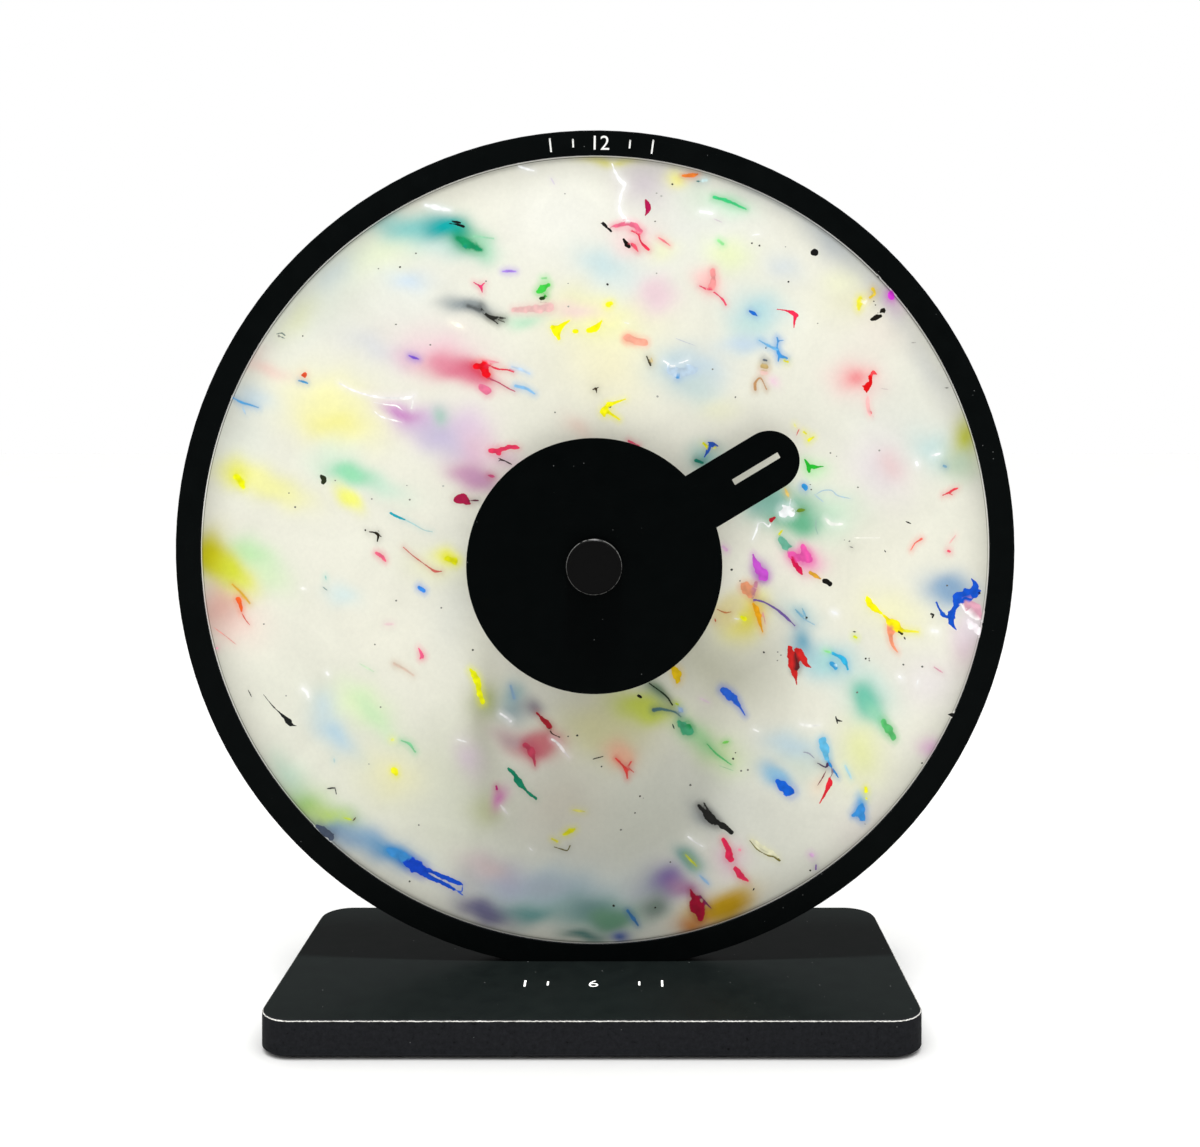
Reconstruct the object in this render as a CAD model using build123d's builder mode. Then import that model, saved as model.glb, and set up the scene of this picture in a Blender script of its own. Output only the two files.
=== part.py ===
from build123d import *
import math
import os

# A free-standing tide clock. A translucent flecked disc sits in a black ring, the ring stands
# in a slot of a black slab, and a battery movement behind the disc turns a single hand.
# All lengths are in millimetres. X runs to the viewer's right, Y runs away from the viewer and
# Z runs up. The origin is on the table, below the middle of the slab.

# Slab
SLAB_WIDTH = 193.4
SLAB_DEPTH = 97.0
SLAB_THICK = 10.5
SLAB_CORNER = 10.0
SLAB_CHAMFER = 0.5

# Feet
FOOT_RADIUS = 6.0
FOOT_PROUD = 1.0
FOOT_SUNK = 0.8
FOOT_INSET = 17.0
FOOT_EDGE = 0.3
FOOT_FIT = 0.1

# Ring
RING_RADIUS = 134.0
RING_BAND = 7.9
RING_THICK = 6.0
RING_SUNK = 2.6
RING_EDGE = 0.2
SLOT_FIT = 0.1
LEDGE_WIDTH = 4.0

# Screws that hold the ring from under the slab
RING_SCREW_RADIUS = 1.25
RING_SCREW_SPREAD = 30.0
RING_SCREW_HEAD_RADIUS = 2.4
RING_SCREW_HEAD = 2.0
RING_SCREW_SUNK = 3.0
RING_SCREW_COVER = 1.5
RING_SCREW_SOCKET = 1.2
SCREW_SLACK = 0.1

# Dial
DIAL_THICK = 4.0
DIAL_RECESS = 0.3
DIAL_GAP = 0.25
DIAL_EDGE = 0.2

# Screws that hold the dial from behind
DIAL_SCREW_COUNT = 6
DIAL_SCREW_RADIUS = 0.8
DIAL_SCREW_HEAD_RADIUS = 1.6
DIAL_SCREW_HEAD = 0.9
DIAL_SCREW_BITE = 2.5
DIAL_SCREW_SLOT_WIDTH = 0.5
DIAL_SCREW_SLOT_DEPTH = 0.4

# Spindle, bush and what clamps the movement in the dial
SPINDLE_DROP = 4.3
SPINDLE_RADIUS = 2.5
RUN_FIT = 0.05
BUSH_RADIUS = 4.0
BUSH_FLANGE_RADIUS = 5.5
BUSH_FLANGE = 0.5
BUSH_PROUD = 0.7
BUSH_CHAMFER = 0.3
BUSH_SLACK = 0.2
GASKET_RADIUS = 12.0
GASKET_THICK = 1.0
WASHER_RADIUS = 7.0
WASHER_THICK = 0.5
NUT_ACROSS = 12.0
NUT_THICK = 2.0
NUT_CHAMFER = 0.3

# Hand
HAND_ANGLE = 31.0
HAND_RADIUS = 40.0
HAND_THICK = 1.5
HAND_STANDOFF = 10.0
TAB_WIDTH = 18.75
TAB_LENGTH = 63.9
SLIT_OFFSET = 50.7
SLIT_LENGTH = 16.7
SLIT_WIDTH = 2.0
SLIT_CORNER = 0.25
HUB_RADIUS = 5.0
HUB_FLANGE_RADIUS = 10.0
HUB_FLANGE = 1.2
HUB_SPIGOT_RADIUS = 3.5
HUB_NUT_GAP = 0.7
HUB_WEB = 0.5
HUB_FIT = 0.02
CAP_RADIUS = 8.7
CAP_THICK = 3.9
CAP_CHAMFER = 0.5
CAP_PIN_RADIUS = 1.5
CAP_PIN = 1.4

# Gear train: every wheel drives a ten-leaved pinion, at the same distance between arbors
ARBOR_DISTANCE = 12.5
WHEEL_TEETH = 40
PINION_LEAVES = 10
WHEEL_THICK = 1.0
LAYER_GAP = 1.1
PINION_LAP = 0.3
END_SHAKE = 0.3
ARBOR_RADIUS = 1.0
PIVOT_RADIUS = 0.5
PIVOT_LENGTH = 1.2
PIVOT_SUNK = 0.7
INTERMEDIATE_ANGLE = 126.87
THIRD_ANGLE = 16.26
ROTOR_ANGLE = -15.02

# Tooth forms, as shares of the module, and the rise of a flank's bulge as a share of its height
WHEEL_ADDENDUM_SHARE = 1.1
WHEEL_DEDENDUM_SHARE = 1.0
WHEEL_TOOTH_SHARE = 1.45
WHEEL_TIP_SHARE = 0.4
LEAF_ADDENDUM_SHARE = 0.7
LEAF_DEDENDUM_SHARE = 1.4
LEAF_TOOTH_SHARE = 1.2
LEAF_TIP_SHARE = 0.5
FLANK_BULGE_SHARE = 0.7

# Movement case
CASE_WALL = 1.0
CASE_CORNER = 2.5
CASE_EDGE = 0.6
LID_THICK = 1.2
LID_FIT = 0.1
LID_SEAT = 3.0
RIB_GAP = 0.65
RIB_THICK = 1.0
CHAMBER_HEADROOM = 3.0
BOSS_RADIUS = 1.9
BOSS_GAP = 0.8
LID_BEARING = 1.5
FINGER_NOTCH = 7.0
SADDLE_SPREAD = 24.0
SADDLE_THICK = 1.2
SADDLE_RISE = 3.5

# Battery cell, standard size
CELL_DIAMETER = 14.5
CELL_LENGTH = 50.5
CELL_NUB_RADIUS = 2.75
CELL_NUB = 1.3
CELL_EDGE = 0.5
CELL_GAP = 0.3
CELL_RECESS = 0.2

# Battery contacts
CONTACT_THICK = 0.4
CONTACT_WIDTH = 8.0
CONTACT_HEIGHT = 9.0
LEAF_RISE = 2.1
LEAF_WIDTH = 5.0
LEAF_THICK = 0.3
LEAF_SPAN = 8.0
STRIP_WIDTH = 2.5
STRIP_INSET = 0.6
STRIP_LAP = 3.0
STRIP_SLACK = 0.1

# Step motor
MAGNET_RADIUS = 3.2
MAGNET_LENGTH = 3.6
MAGNET_GAP = 0.5
STATOR_THICK = 1.0
STATOR_LEG = 4.0
STATOR_COLLAR = 2.0
STATOR_LEG_OFFSET = 3.4
LEG_GAP = 0.8
CORE_HEADROOM = 2.3
COIL_FLANGE_RADIUS = 3.2
COIL_FLANGE = 0.6
COIL_RADIUS = 3.0
COIL_TUBE_RADIUS = 2.4
COIL_GAP = 0.2
COIL_END_GAP = 0.4
CORE_SLACK = 0.05
POST_RADIUS = 1.5
POST_PIN_RADIUS = 0.6
POST_PIN_PROUD = 0.3
POST_RISE = 6.2
PIN_SLACK = 0.1

# Circuit board
BOARD_THICK = 1.0
BOARD_STANDOFF = 1.9
BOARD_SIDE_GAP = 0.5
BOARD_ARBOR_GAP = 0.9
BOARD_HEADROOM = 5.0
BOARD_POST_INSET = 3.0
CHIP_RADIUS = 3.2
CHIP_RISE = 1.0
CHIP_EDGE = 0.5
CRYSTAL_RADIUS = 1.0
CRYSTAL_LENGTH = 6.0
CRYSTAL_RISE = 12.0

# Set knob
KNOB_RADIUS = 5.0
KNOB_THICK = 3.5
KNOB_GAP = 0.5
KNOB_RECESS = 0.8
KNOB_FLUTE_COUNT = 18
KNOB_FLUTE_RADIUS = 0.5
KNOB_EDGE = 0.4

# Heights of the slab, the ring and the spindle
SLAB_TOP = FOOT_PROUD + SLAB_THICK
RING_Z = SLAB_TOP - RING_SUNK + RING_RADIUS
SPINDLE_Z = RING_Z - SPINDLE_DROP
BORE_RADIUS = RING_RADIUS - RING_BAND
LEDGE_RADIUS = BORE_RADIUS - LEDGE_WIDTH
DIAL_RADIUS = BORE_RADIUS - DIAL_GAP
DIAL_SCREW_CIRCLE = DIAL_RADIUS - LEDGE_WIDTH / 2

# Depths from the hand, in front, to the back of the movement
RING_FRONT = -RING_THICK / 2
RING_BACK = RING_THICK / 2
DIAL_FRONT = RING_FRONT + DIAL_RECESS
DIAL_BACK = DIAL_FRONT + DIAL_THICK
PLATE_FRONT = RING_FRONT - HAND_STANDOFF
PLATE_BACK = PLATE_FRONT + HAND_THICK
NUT_BACK = DIAL_FRONT - WASHER_THICK
NUT_FRONT = NUT_BACK - NUT_THICK
BUSH_TIP = NUT_FRONT - BUSH_PROUD
CASE_FRONT = DIAL_BACK + GASKET_THICK
CASE_FLOOR = CASE_FRONT + CASE_WALL
CASE_BACK = CASE_FLOOR + CELL_GAP + CELL_DIAMETER + CELL_RECESS
LID_FRONT = CASE_BACK - LID_THICK
LAYER_STEP = WHEEL_THICK + LAYER_GAP
LAYER_1 = CASE_FLOOR + BUSH_FLANGE + END_SHAKE
LAYER_2 = LAYER_1 + LAYER_STEP
LAYER_3 = LAYER_2 + LAYER_STEP

# Gear sizes and the places of the arbors
MODULE = 2 * ARBOR_DISTANCE / (WHEEL_TEETH + PINION_LEAVES)
WHEEL_PITCH = MODULE * WHEEL_TEETH / 2
PINION_PITCH = MODULE * PINION_LEAVES / 2
WHEEL_TIP = WHEEL_PITCH + MODULE * WHEEL_ADDENDUM_SHARE


def stepped(spot, angle):
    """The next arbor's place, one wheel and pinion away from spot."""
    turn_by = math.radians(angle)
    return (
        spot[0] + ARBOR_DISTANCE * math.cos(turn_by),
        spot[1] + ARBOR_DISTANCE * math.sin(turn_by),
    )


TIDE = (0, SPINDLE_Z)
INTERMEDIATE = stepped(TIDE, INTERMEDIATE_ANGLE)
THIRD = stepped(INTERMEDIATE, THIRD_ANGLE)
ROTOR = stepped(THIRD, ROTOR_ANGLE)

# Inside of the movement case: the gear chamber above, the battery bay below
CHAMBER_BOTTOM = SPINDLE_Z - WHEEL_TIP - RIB_GAP
CHAMBER_TOP = THIRD[1] + WHEEL_TIP + CHAMBER_HEADROOM
BAY_TOP = CHAMBER_BOTTOM - RIB_THICK
BAY_BOTTOM = BAY_TOP - CELL_DIAMETER - 2 * CELL_GAP
CASE_HALF = CELL_LENGTH / 2 + CONTACT_THICK + CELL_GAP + LEAF_RISE / 2
CELL_Y = CASE_FLOOR + CELL_GAP + CELL_DIAMETER / 2
CELL_Z = BAY_TOP - CELL_GAP - CELL_DIAMETER / 2
CELL_TIP = CASE_HALF - CONTACT_THICK - CELL_GAP
CELL_END = CELL_TIP - CELL_LENGTH


def facing(depth, x=0, z=0):
    """The plane that faces the viewer at a depth, with its middle at x and z."""
    return Plane(origin=(x, depth, z), x_dir=(1, 0, 0), z_dir=(0, -1, 0))


def turn(spot, *outline):
    """Turn an outline of (depth, radius) points round the arbor at spot."""
    beside = Plane(origin=(spot[0], 0, spot[1]), x_dir=(0, 1, 0), z_dir=(1, 0, 0))
    with BuildSketch(beside) as half:
        with BuildLine():
            Polyline(*outline, close=True)
        make_face()
    revolve(half.sketch, axis=Axis((spot[0], 0, spot[1]), (0, 1, 0)))


def polar(radius, angle):
    """A point at a radius and an angle in radians."""
    return radius * math.cos(angle), radius * math.sin(angle)


def tooth_profile(root, pitch, tip, thick, tip_thick, step):
    """One tooth at angle zero: a radial flank, a bulged addendum, a flat tip, the same back
    down, and the root as far as the next tooth."""
    foot = thick / pitch / 2
    crest = tip_thick / tip / 2
    bulge = crest + (foot - crest) * FLANK_BULGE_SHARE
    half_way = (pitch + tip) / 2
    Line(polar(root, -foot), polar(pitch, -foot))
    ThreePointArc(polar(pitch, -foot), polar(half_way, -bulge), polar(tip, -crest))
    Line(polar(tip, -crest), polar(tip, crest))
    ThreePointArc(polar(tip, crest), polar(half_way, bulge), polar(pitch, foot))
    Line(polar(pitch, foot), polar(root, foot))
    Line(polar(root, foot), polar(root, step - foot))


def gear(spot, front, back, count, first, addendum, dedendum, thick, tip_thick):
    """Add a toothed disc round the arbor at spot, with one tooth at the angle first."""
    pitch = MODULE * count / 2
    with BuildLine(mode=Mode.PRIVATE) as tooth:
        tooth_profile(
            root=pitch - MODULE * dedendum,
            pitch=pitch,
            tip=pitch + MODULE * addendum,
            thick=MODULE * thick,
            tip_thick=MODULE * tip_thick,
            step=math.tau / count,
        )
    with BuildSketch(facing(back, *spot)) as face:
        with BuildLine():
            with PolarLocations(0, count, start_angle=first):
                add(tooth.line)
        make_face()
    extrude(face.sketch, amount=back - front)


def wheel(spot, front, next_angle):
    """A wheel with one tooth pointing at the pinion that it drives."""
    gear(
        spot, front, front + WHEEL_THICK, WHEEL_TEETH, next_angle,
        WHEEL_ADDENDUM_SHARE, WHEEL_DEDENDUM_SHARE, WHEEL_TOOTH_SHARE, WHEEL_TIP_SHARE,
    )


def pinion(spot, front, back, last_angle):
    """A pinion with one space pointing back at the wheel that drives it."""
    half_space = math.degrees(math.pi / PINION_LEAVES)
    gear(
        spot, front, back, PINION_LEAVES, last_angle + half_space + math.degrees(math.pi),
        LEAF_ADDENDUM_SHARE, LEAF_DEDENDUM_SHARE, LEAF_TOOTH_SHARE, LEAF_TIP_SHARE,
    )


os.makedirs("parts", exist_ok=True)

# The slab: bevelled top and bottom edges, a slot shaped to the ring, screw holes and foot pockets
with BuildPart() as base_slab:
    with BuildSketch(Plane.XY.offset(FOOT_PROUD)):
        RectangleRounded(SLAB_WIDTH, SLAB_DEPTH, SLAB_CORNER)
    extrude(amount=SLAB_THICK)
    chamfer(base_slab.edges().group_by(Axis.Z)[-1], SLAB_CHAMFER)
    chamfer(base_slab.edges().group_by(Axis.Z)[0], SLAB_CHAMFER)
    with BuildSketch(facing(RING_BACK + SLOT_FIT, 0, RING_Z)):
        Circle(RING_RADIUS + SLOT_FIT)
    extrude(amount=RING_THICK + 2 * SLOT_FIT, mode=Mode.SUBTRACT)
    underside = Plane(origin=(0, 0, FOOT_PROUD), x_dir=(1, 0, 0), z_dir=(0, 0, -1))
    with Locations(underside):
        with GridLocations(RING_SCREW_SPREAD, 0, 2, 1):
            CounterBoreHole(
                RING_SCREW_RADIUS + SCREW_SLACK,
                RING_SCREW_HEAD_RADIUS + SCREW_SLACK,
                RING_SCREW_SUNK,
            )
        with GridLocations(SLAB_WIDTH - 2 * FOOT_INSET, SLAB_DEPTH - 2 * FOOT_INSET, 2, 2):
            Hole(FOOT_RADIUS + FOOT_FIT, depth=FOOT_SUNK)
base_slab.part.label = "base_slab"
export_step(base_slab.part, "parts/base_slab.step")

# Four low pads glued in the pockets
with BuildPart() as base_feet:
    with BuildSketch(Plane.XY):
        with GridLocations(SLAB_WIDTH - 2 * FOOT_INSET, SLAB_DEPTH - 2 * FOOT_INSET, 2, 2):
            Circle(FOOT_RADIUS)
    extrude(amount=FOOT_PROUD + FOOT_SUNK)
    chamfer(base_feet.edges().group_by(Axis.Z)[0], FOOT_EDGE)
base_feet.part.label = "base_feet"
export_step(base_feet.part, "parts/base_feet.step")

# The screws end this high, inside the ring's band
SCREW_SEAT_Z = FOOT_PROUD + RING_SCREW_SUNK
SCREW_TIP_Z = RING_Z - math.sqrt(BORE_RADIUS**2 - (RING_SCREW_SPREAD / 2)**2) - RING_SCREW_COVER

# The ring: a bore for the dial from the front, and a ledge behind it
with BuildPart() as ring_frame:
    with BuildSketch(facing(RING_BACK, 0, RING_Z)):
        Circle(RING_RADIUS)
    extrude(amount=RING_THICK)
    chamfer(ring_frame.edges().filter_by(GeomType.CIRCLE), RING_EDGE)
    with BuildSketch(facing(RING_BACK, 0, RING_Z)):
        Circle(LEDGE_RADIUS)
    extrude(amount=RING_THICK, mode=Mode.SUBTRACT)
    with BuildSketch(facing(DIAL_BACK, 0, RING_Z)):
        Circle(BORE_RADIUS)
    extrude(amount=DIAL_BACK - RING_FRONT, mode=Mode.SUBTRACT)
    with BuildSketch(facing(RING_BACK, 0, RING_Z)):
        with PolarLocations(DIAL_SCREW_CIRCLE, DIAL_SCREW_COUNT):
            Circle(DIAL_SCREW_RADIUS + SCREW_SLACK)
    extrude(amount=RING_BACK - DIAL_BACK, mode=Mode.SUBTRACT)
    with BuildSketch(Plane.XY):
        with GridLocations(RING_SCREW_SPREAD, 0, 2, 1):
            Circle(RING_SCREW_RADIUS + SCREW_SLACK)
    extrude(amount=SCREW_TIP_Z + SCREW_SLACK, mode=Mode.SUBTRACT)
ring_frame.part.label = "ring_frame"
export_step(ring_frame.part, "parts/ring_frame.step")

# Two socket screws, up through the slab into the ring
with BuildPart() as ring_screws:
    with BuildSketch(Plane.XY.offset(SCREW_SEAT_Z - RING_SCREW_HEAD)):
        with GridLocations(RING_SCREW_SPREAD, 0, 2, 1):
            Circle(RING_SCREW_HEAD_RADIUS)
    extrude(amount=RING_SCREW_HEAD)
    with BuildSketch(Plane.XY.offset(SCREW_SEAT_Z)):
        with GridLocations(RING_SCREW_SPREAD, 0, 2, 1):
            Circle(RING_SCREW_RADIUS)
    extrude(amount=SCREW_TIP_Z - SCREW_SEAT_Z)
    with BuildSketch(Plane.XY.offset(SCREW_SEAT_Z - RING_SCREW_HEAD)):
        with GridLocations(RING_SCREW_SPREAD, 0, 2, 1):
            RegularPolygon(RING_SCREW_SOCKET, 6)
    extrude(amount=RING_SCREW_SOCKET, mode=Mode.SUBTRACT)
ring_screws.part.label = "ring_screws"
export_step(ring_screws.part, "parts/ring_screws.step")

# The dial: a thick disc with a hole for the bush and blind screw holes in its back
with BuildPart() as dial_disc:
    with BuildSketch(facing(DIAL_BACK, 0, RING_Z)):
        Circle(DIAL_RADIUS)
    extrude(amount=DIAL_THICK)
    chamfer(dial_disc.edges().filter_by(GeomType.CIRCLE), DIAL_EDGE)
    with BuildSketch(facing(DIAL_BACK, *TIDE)):
        Circle(BUSH_RADIUS + BUSH_SLACK)
    extrude(amount=DIAL_THICK, mode=Mode.SUBTRACT)
    with BuildSketch(facing(DIAL_BACK, 0, RING_Z)):
        with PolarLocations(DIAL_SCREW_CIRCLE, DIAL_SCREW_COUNT):
            Circle(DIAL_SCREW_RADIUS + SCREW_SLACK)
    extrude(amount=DIAL_SCREW_BITE + SCREW_SLACK, mode=Mode.SUBTRACT)
dial_disc.part.label = "dial_disc"
export_step(dial_disc.part, "parts/dial_disc.step")

# Six small slotted screws in the ledge
with BuildPart() as dial_screws:
    with BuildSketch(facing(RING_BACK, 0, RING_Z)):
        with PolarLocations(DIAL_SCREW_CIRCLE, DIAL_SCREW_COUNT):
            Circle(DIAL_SCREW_RADIUS)
    extrude(amount=RING_BACK - DIAL_BACK + DIAL_SCREW_BITE)
    with BuildSketch(facing(RING_BACK + DIAL_SCREW_HEAD, 0, RING_Z)):
        with PolarLocations(DIAL_SCREW_CIRCLE, DIAL_SCREW_COUNT):
            Circle(DIAL_SCREW_HEAD_RADIUS)
    extrude(amount=DIAL_SCREW_HEAD)
    with BuildSketch(facing(RING_BACK + DIAL_SCREW_HEAD, 0, RING_Z)):
        with PolarLocations(DIAL_SCREW_CIRCLE, DIAL_SCREW_COUNT):
            Rectangle(2 * DIAL_SCREW_HEAD_RADIUS, DIAL_SCREW_SLOT_WIDTH)
    extrude(amount=DIAL_SCREW_SLOT_DEPTH, mode=Mode.SUBTRACT)
dial_screws.part.label = "dial_screws"
export_step(dial_screws.part, "parts/dial_screws.step")

# The rubber washer between the dial and the movement
with BuildPart() as movement_gasket:
    with BuildSketch(facing(CASE_FRONT, *TIDE)):
        Circle(GASKET_RADIUS)
        Circle(BUSH_RADIUS + BUSH_SLACK, mode=Mode.SUBTRACT)
    extrude(amount=GASKET_THICK)
movement_gasket.part.label = "movement_gasket"
export_step(movement_gasket.part, "parts/movement_gasket.step")

# The bush, flanged inside the case and bored for the spindle
with BuildPart() as threaded_bush:
    turn(
        TIDE,
        (BUSH_TIP, SPINDLE_RADIUS + RUN_FIT),
        (BUSH_TIP, BUSH_RADIUS - BUSH_CHAMFER),
        (BUSH_TIP + BUSH_CHAMFER, BUSH_RADIUS),
        (CASE_FLOOR, BUSH_RADIUS),
        (CASE_FLOOR, BUSH_FLANGE_RADIUS),
        (CASE_FLOOR + BUSH_FLANGE, BUSH_FLANGE_RADIUS),
        (CASE_FLOOR + BUSH_FLANGE, SPINDLE_RADIUS + RUN_FIT),
    )
threaded_bush.part.label = "threaded_bush"
export_step(threaded_bush.part, "parts/threaded_bush.step")

# Washer and nut on the bush, in front of the dial
with BuildPart() as dial_washer:
    with BuildSketch(facing(DIAL_FRONT, *TIDE)):
        Circle(WASHER_RADIUS)
        Circle(BUSH_RADIUS + BUSH_SLACK, mode=Mode.SUBTRACT)
    extrude(amount=WASHER_THICK)
dial_washer.part.label = "dial_washer"
export_step(dial_washer.part, "parts/dial_washer.step")

with BuildPart() as dial_nut:
    with BuildSketch(facing(NUT_BACK, *TIDE)):
        RegularPolygon(NUT_ACROSS / 2, 6, major_radius=False)
    extrude(amount=NUT_THICK)
    chamfer(dial_nut.edges().group_by(Axis.Y)[0], NUT_CHAMFER)
    with BuildSketch(facing(NUT_BACK, *TIDE)):
        Circle(BUSH_RADIUS + RUN_FIT)
    extrude(amount=NUT_THICK, mode=Mode.SUBTRACT)
dial_nut.part.label = "dial_nut"
export_step(dial_nut.part, "parts/dial_nut.step")

# Where the spindle ends, inside the hub
HUB_REAR = BUSH_TIP - HUB_NUT_GAP
SPINDLE_TIP = PLATE_FRONT + CAP_PIN + 2 * HUB_WEB

# The tide wheel: spindle in front, wheel, then an arbor with a pivot in the lid's boss
TIDE_BOSS = LAYER_2 + WHEEL_THICK + BOSS_GAP
with BuildPart() as tide_wheel:
    wheel(TIDE, LAYER_1, INTERMEDIATE_ANGLE)
    turn(
        TIDE,
        (SPINDLE_TIP, 0),
        (SPINDLE_TIP, SPINDLE_RADIUS),
        (LAYER_1, SPINDLE_RADIUS),
        (LAYER_1 + WHEEL_THICK, SPINDLE_RADIUS),
        (LAYER_1 + WHEEL_THICK, ARBOR_RADIUS),
        (TIDE_BOSS - END_SHAKE, ARBOR_RADIUS),
        (TIDE_BOSS - END_SHAKE, PIVOT_RADIUS),
        (TIDE_BOSS + PIVOT_LENGTH, PIVOT_RADIUS),
        (TIDE_BOSS + PIVOT_LENGTH, 0),
    )
tide_wheel.part.label = "tide_wheel"
export_step(tide_wheel.part, "parts/tide_wheel.step")

# The intermediate wheel: its arbor runs on through the lid to the set knob
KNOB_FRONT = CASE_BACK + KNOB_GAP
KNOB_BACK = KNOB_FRONT + KNOB_THICK
with BuildPart() as intermediate_wheel:
    wheel(INTERMEDIATE, LAYER_2, THIRD_ANGLE)
    pinion(INTERMEDIATE, LAYER_1 - PINION_LAP, LAYER_2, INTERMEDIATE_ANGLE)
    turn(
        INTERMEDIATE,
        (CASE_FLOOR - PIVOT_SUNK, 0),
        (CASE_FLOOR - PIVOT_SUNK, PIVOT_RADIUS),
        (LAYER_1 - PINION_LAP, PIVOT_RADIUS),
        (LAYER_1 - PINION_LAP, ARBOR_RADIUS),
        (KNOB_BACK - KNOB_RECESS, ARBOR_RADIUS),
        (KNOB_BACK - KNOB_RECESS, 0),
    )
intermediate_wheel.part.label = "intermediate_wheel"
export_step(intermediate_wheel.part, "parts/intermediate_wheel.step")

# The third wheel, between a post on the case floor and a boss on the lid
THIRD_POST = LAYER_2 - PINION_LAP - END_SHAKE
THIRD_BOSS = LAYER_3 + WHEEL_THICK + BOSS_GAP
with BuildPart() as third_wheel:
    wheel(THIRD, LAYER_3, ROTOR_ANGLE)
    pinion(THIRD, LAYER_2 - PINION_LAP, LAYER_3, THIRD_ANGLE)
    turn(
        THIRD,
        (THIRD_POST - PIVOT_LENGTH, 0),
        (THIRD_POST - PIVOT_LENGTH, PIVOT_RADIUS),
        (LAYER_2 - PINION_LAP, PIVOT_RADIUS),
        (LAYER_2 - PINION_LAP, ARBOR_RADIUS),
        (THIRD_BOSS - END_SHAKE, ARBOR_RADIUS),
        (THIRD_BOSS - END_SHAKE, PIVOT_RADIUS),
        (THIRD_BOSS + PIVOT_LENGTH, PIVOT_RADIUS),
        (THIRD_BOSS + PIVOT_LENGTH, 0),
    )
third_wheel.part.label = "third_wheel"
export_step(third_wheel.part, "parts/third_wheel.step")

# Depths of the step motor, which hangs on the lid
CORE_Y = LID_FRONT - COIL_GAP - COIL_FLANGE_RADIUS
STATOR_BACK = CORE_Y - STATOR_THICK / 2
STATOR_FRONT = STATOR_BACK - STATOR_THICK
MAGNET_FRONT = (STATOR_FRONT + STATOR_BACK - MAGNET_LENGTH) / 2
MAGNET_BACK = MAGNET_FRONT + MAGNET_LENGTH
ROTOR_POST = LAYER_3 - PINION_LAP - END_SHAKE
ROTOR_BOSS = MAGNET_BACK + END_SHAKE

# The rotor: a pinion on an arbor that carries a ring magnet
with BuildPart() as rotor_pinion:
    pinion(ROTOR, LAYER_3 - PINION_LAP, LAYER_3 + WHEEL_THICK + PINION_LAP, ROTOR_ANGLE)
    turn(
        ROTOR,
        (ROTOR_POST - PIVOT_LENGTH, 0),
        (ROTOR_POST - PIVOT_LENGTH, PIVOT_RADIUS),
        (LAYER_3 - PINION_LAP, PIVOT_RADIUS),
        (LAYER_3 - PINION_LAP, ARBOR_RADIUS),
        (MAGNET_BACK, ARBOR_RADIUS),
        (MAGNET_BACK, PIVOT_RADIUS),
        (ROTOR_BOSS + PIVOT_LENGTH, PIVOT_RADIUS),
        (ROTOR_BOSS + PIVOT_LENGTH, 0),
    )
rotor_pinion.part.label = "rotor_pinion"
export_step(rotor_pinion.part, "parts/rotor_pinion.step")

with BuildPart() as rotor_magnet:
    with BuildSketch(facing(MAGNET_BACK, *ROTOR)):
        Circle(MAGNET_RADIUS)
        Circle(ARBOR_RADIUS, mode=Mode.SUBTRACT)
    extrude(amount=MAGNET_LENGTH)
rotor_magnet.part.label = "rotor_magnet"
export_step(rotor_magnet.part, "parts/rotor_magnet.step")

# Outline of the stator: a bar with two legs, and an eye round the magnet
LEFT_LEG_X = INTERMEDIATE[0] + BOSS_RADIUS + LEG_GAP + STATOR_LEG / 2
RIGHT_LEG_X = ROTOR[0] + STATOR_LEG_OFFSET
CORE_Z = CHAMBER_TOP - CORE_HEADROOM - COIL_FLANGE_RADIUS
CORE_TOP = CORE_Z + STATOR_LEG / 2
BAR_Z = (SPINDLE_Z + THIRD[1]) / 2
STATOR_POSTS = [(LEFT_LEG_X, BAR_Z), (RIGHT_LEG_X, ROTOR[1] + POST_RISE)]
with BuildPart() as stator_plate:
    with BuildSketch(facing(STATOR_BACK)):
        with Locations(((LEFT_LEG_X + ROTOR[0]) / 2, BAR_Z)):
            Rectangle(ROTOR[0] - LEFT_LEG_X + STATOR_LEG, STATOR_LEG)
        with Locations((LEFT_LEG_X, (BAR_Z - STATOR_LEG / 2 + CORE_TOP) / 2)):
            Rectangle(STATOR_LEG, CORE_TOP - BAR_Z + STATOR_LEG / 2)
        with Locations((RIGHT_LEG_X, (ROTOR[1] + CORE_TOP) / 2)):
            Rectangle(STATOR_LEG, CORE_TOP - ROTOR[1])
        with Locations(ROTOR):
            Circle(MAGNET_RADIUS + MAGNET_GAP + STATOR_COLLAR)
            Circle(MAGNET_RADIUS + MAGNET_GAP, mode=Mode.SUBTRACT)
        with Locations(*STATOR_POSTS):
            Circle(POST_PIN_RADIUS + PIN_SLACK, mode=Mode.SUBTRACT)
    extrude(amount=STATOR_THICK)
stator_plate.part.label = "stator_plate"
export_step(stator_plate.part, "parts/stator_plate.step")

# The coil's core lies across the legs, inside a bobbin that carries the winding
CORE_MIDDLE = (LEFT_LEG_X + RIGHT_LEG_X) / 2
COIL_LENGTH = RIGHT_LEG_X - LEFT_LEG_X - STATOR_LEG - 2 * COIL_END_GAP
with BuildPart() as coil_core:
    with BuildSketch(facing(STATOR_BACK + STATOR_THICK)):
        with Locations((CORE_MIDDLE, CORE_Z)):
            Rectangle(RIGHT_LEG_X - LEFT_LEG_X + STATOR_LEG, STATOR_LEG)
    extrude(amount=STATOR_THICK)
coil_core.part.label = "coil_core"
export_step(coil_core.part, "parts/coil_core.step")


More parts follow.
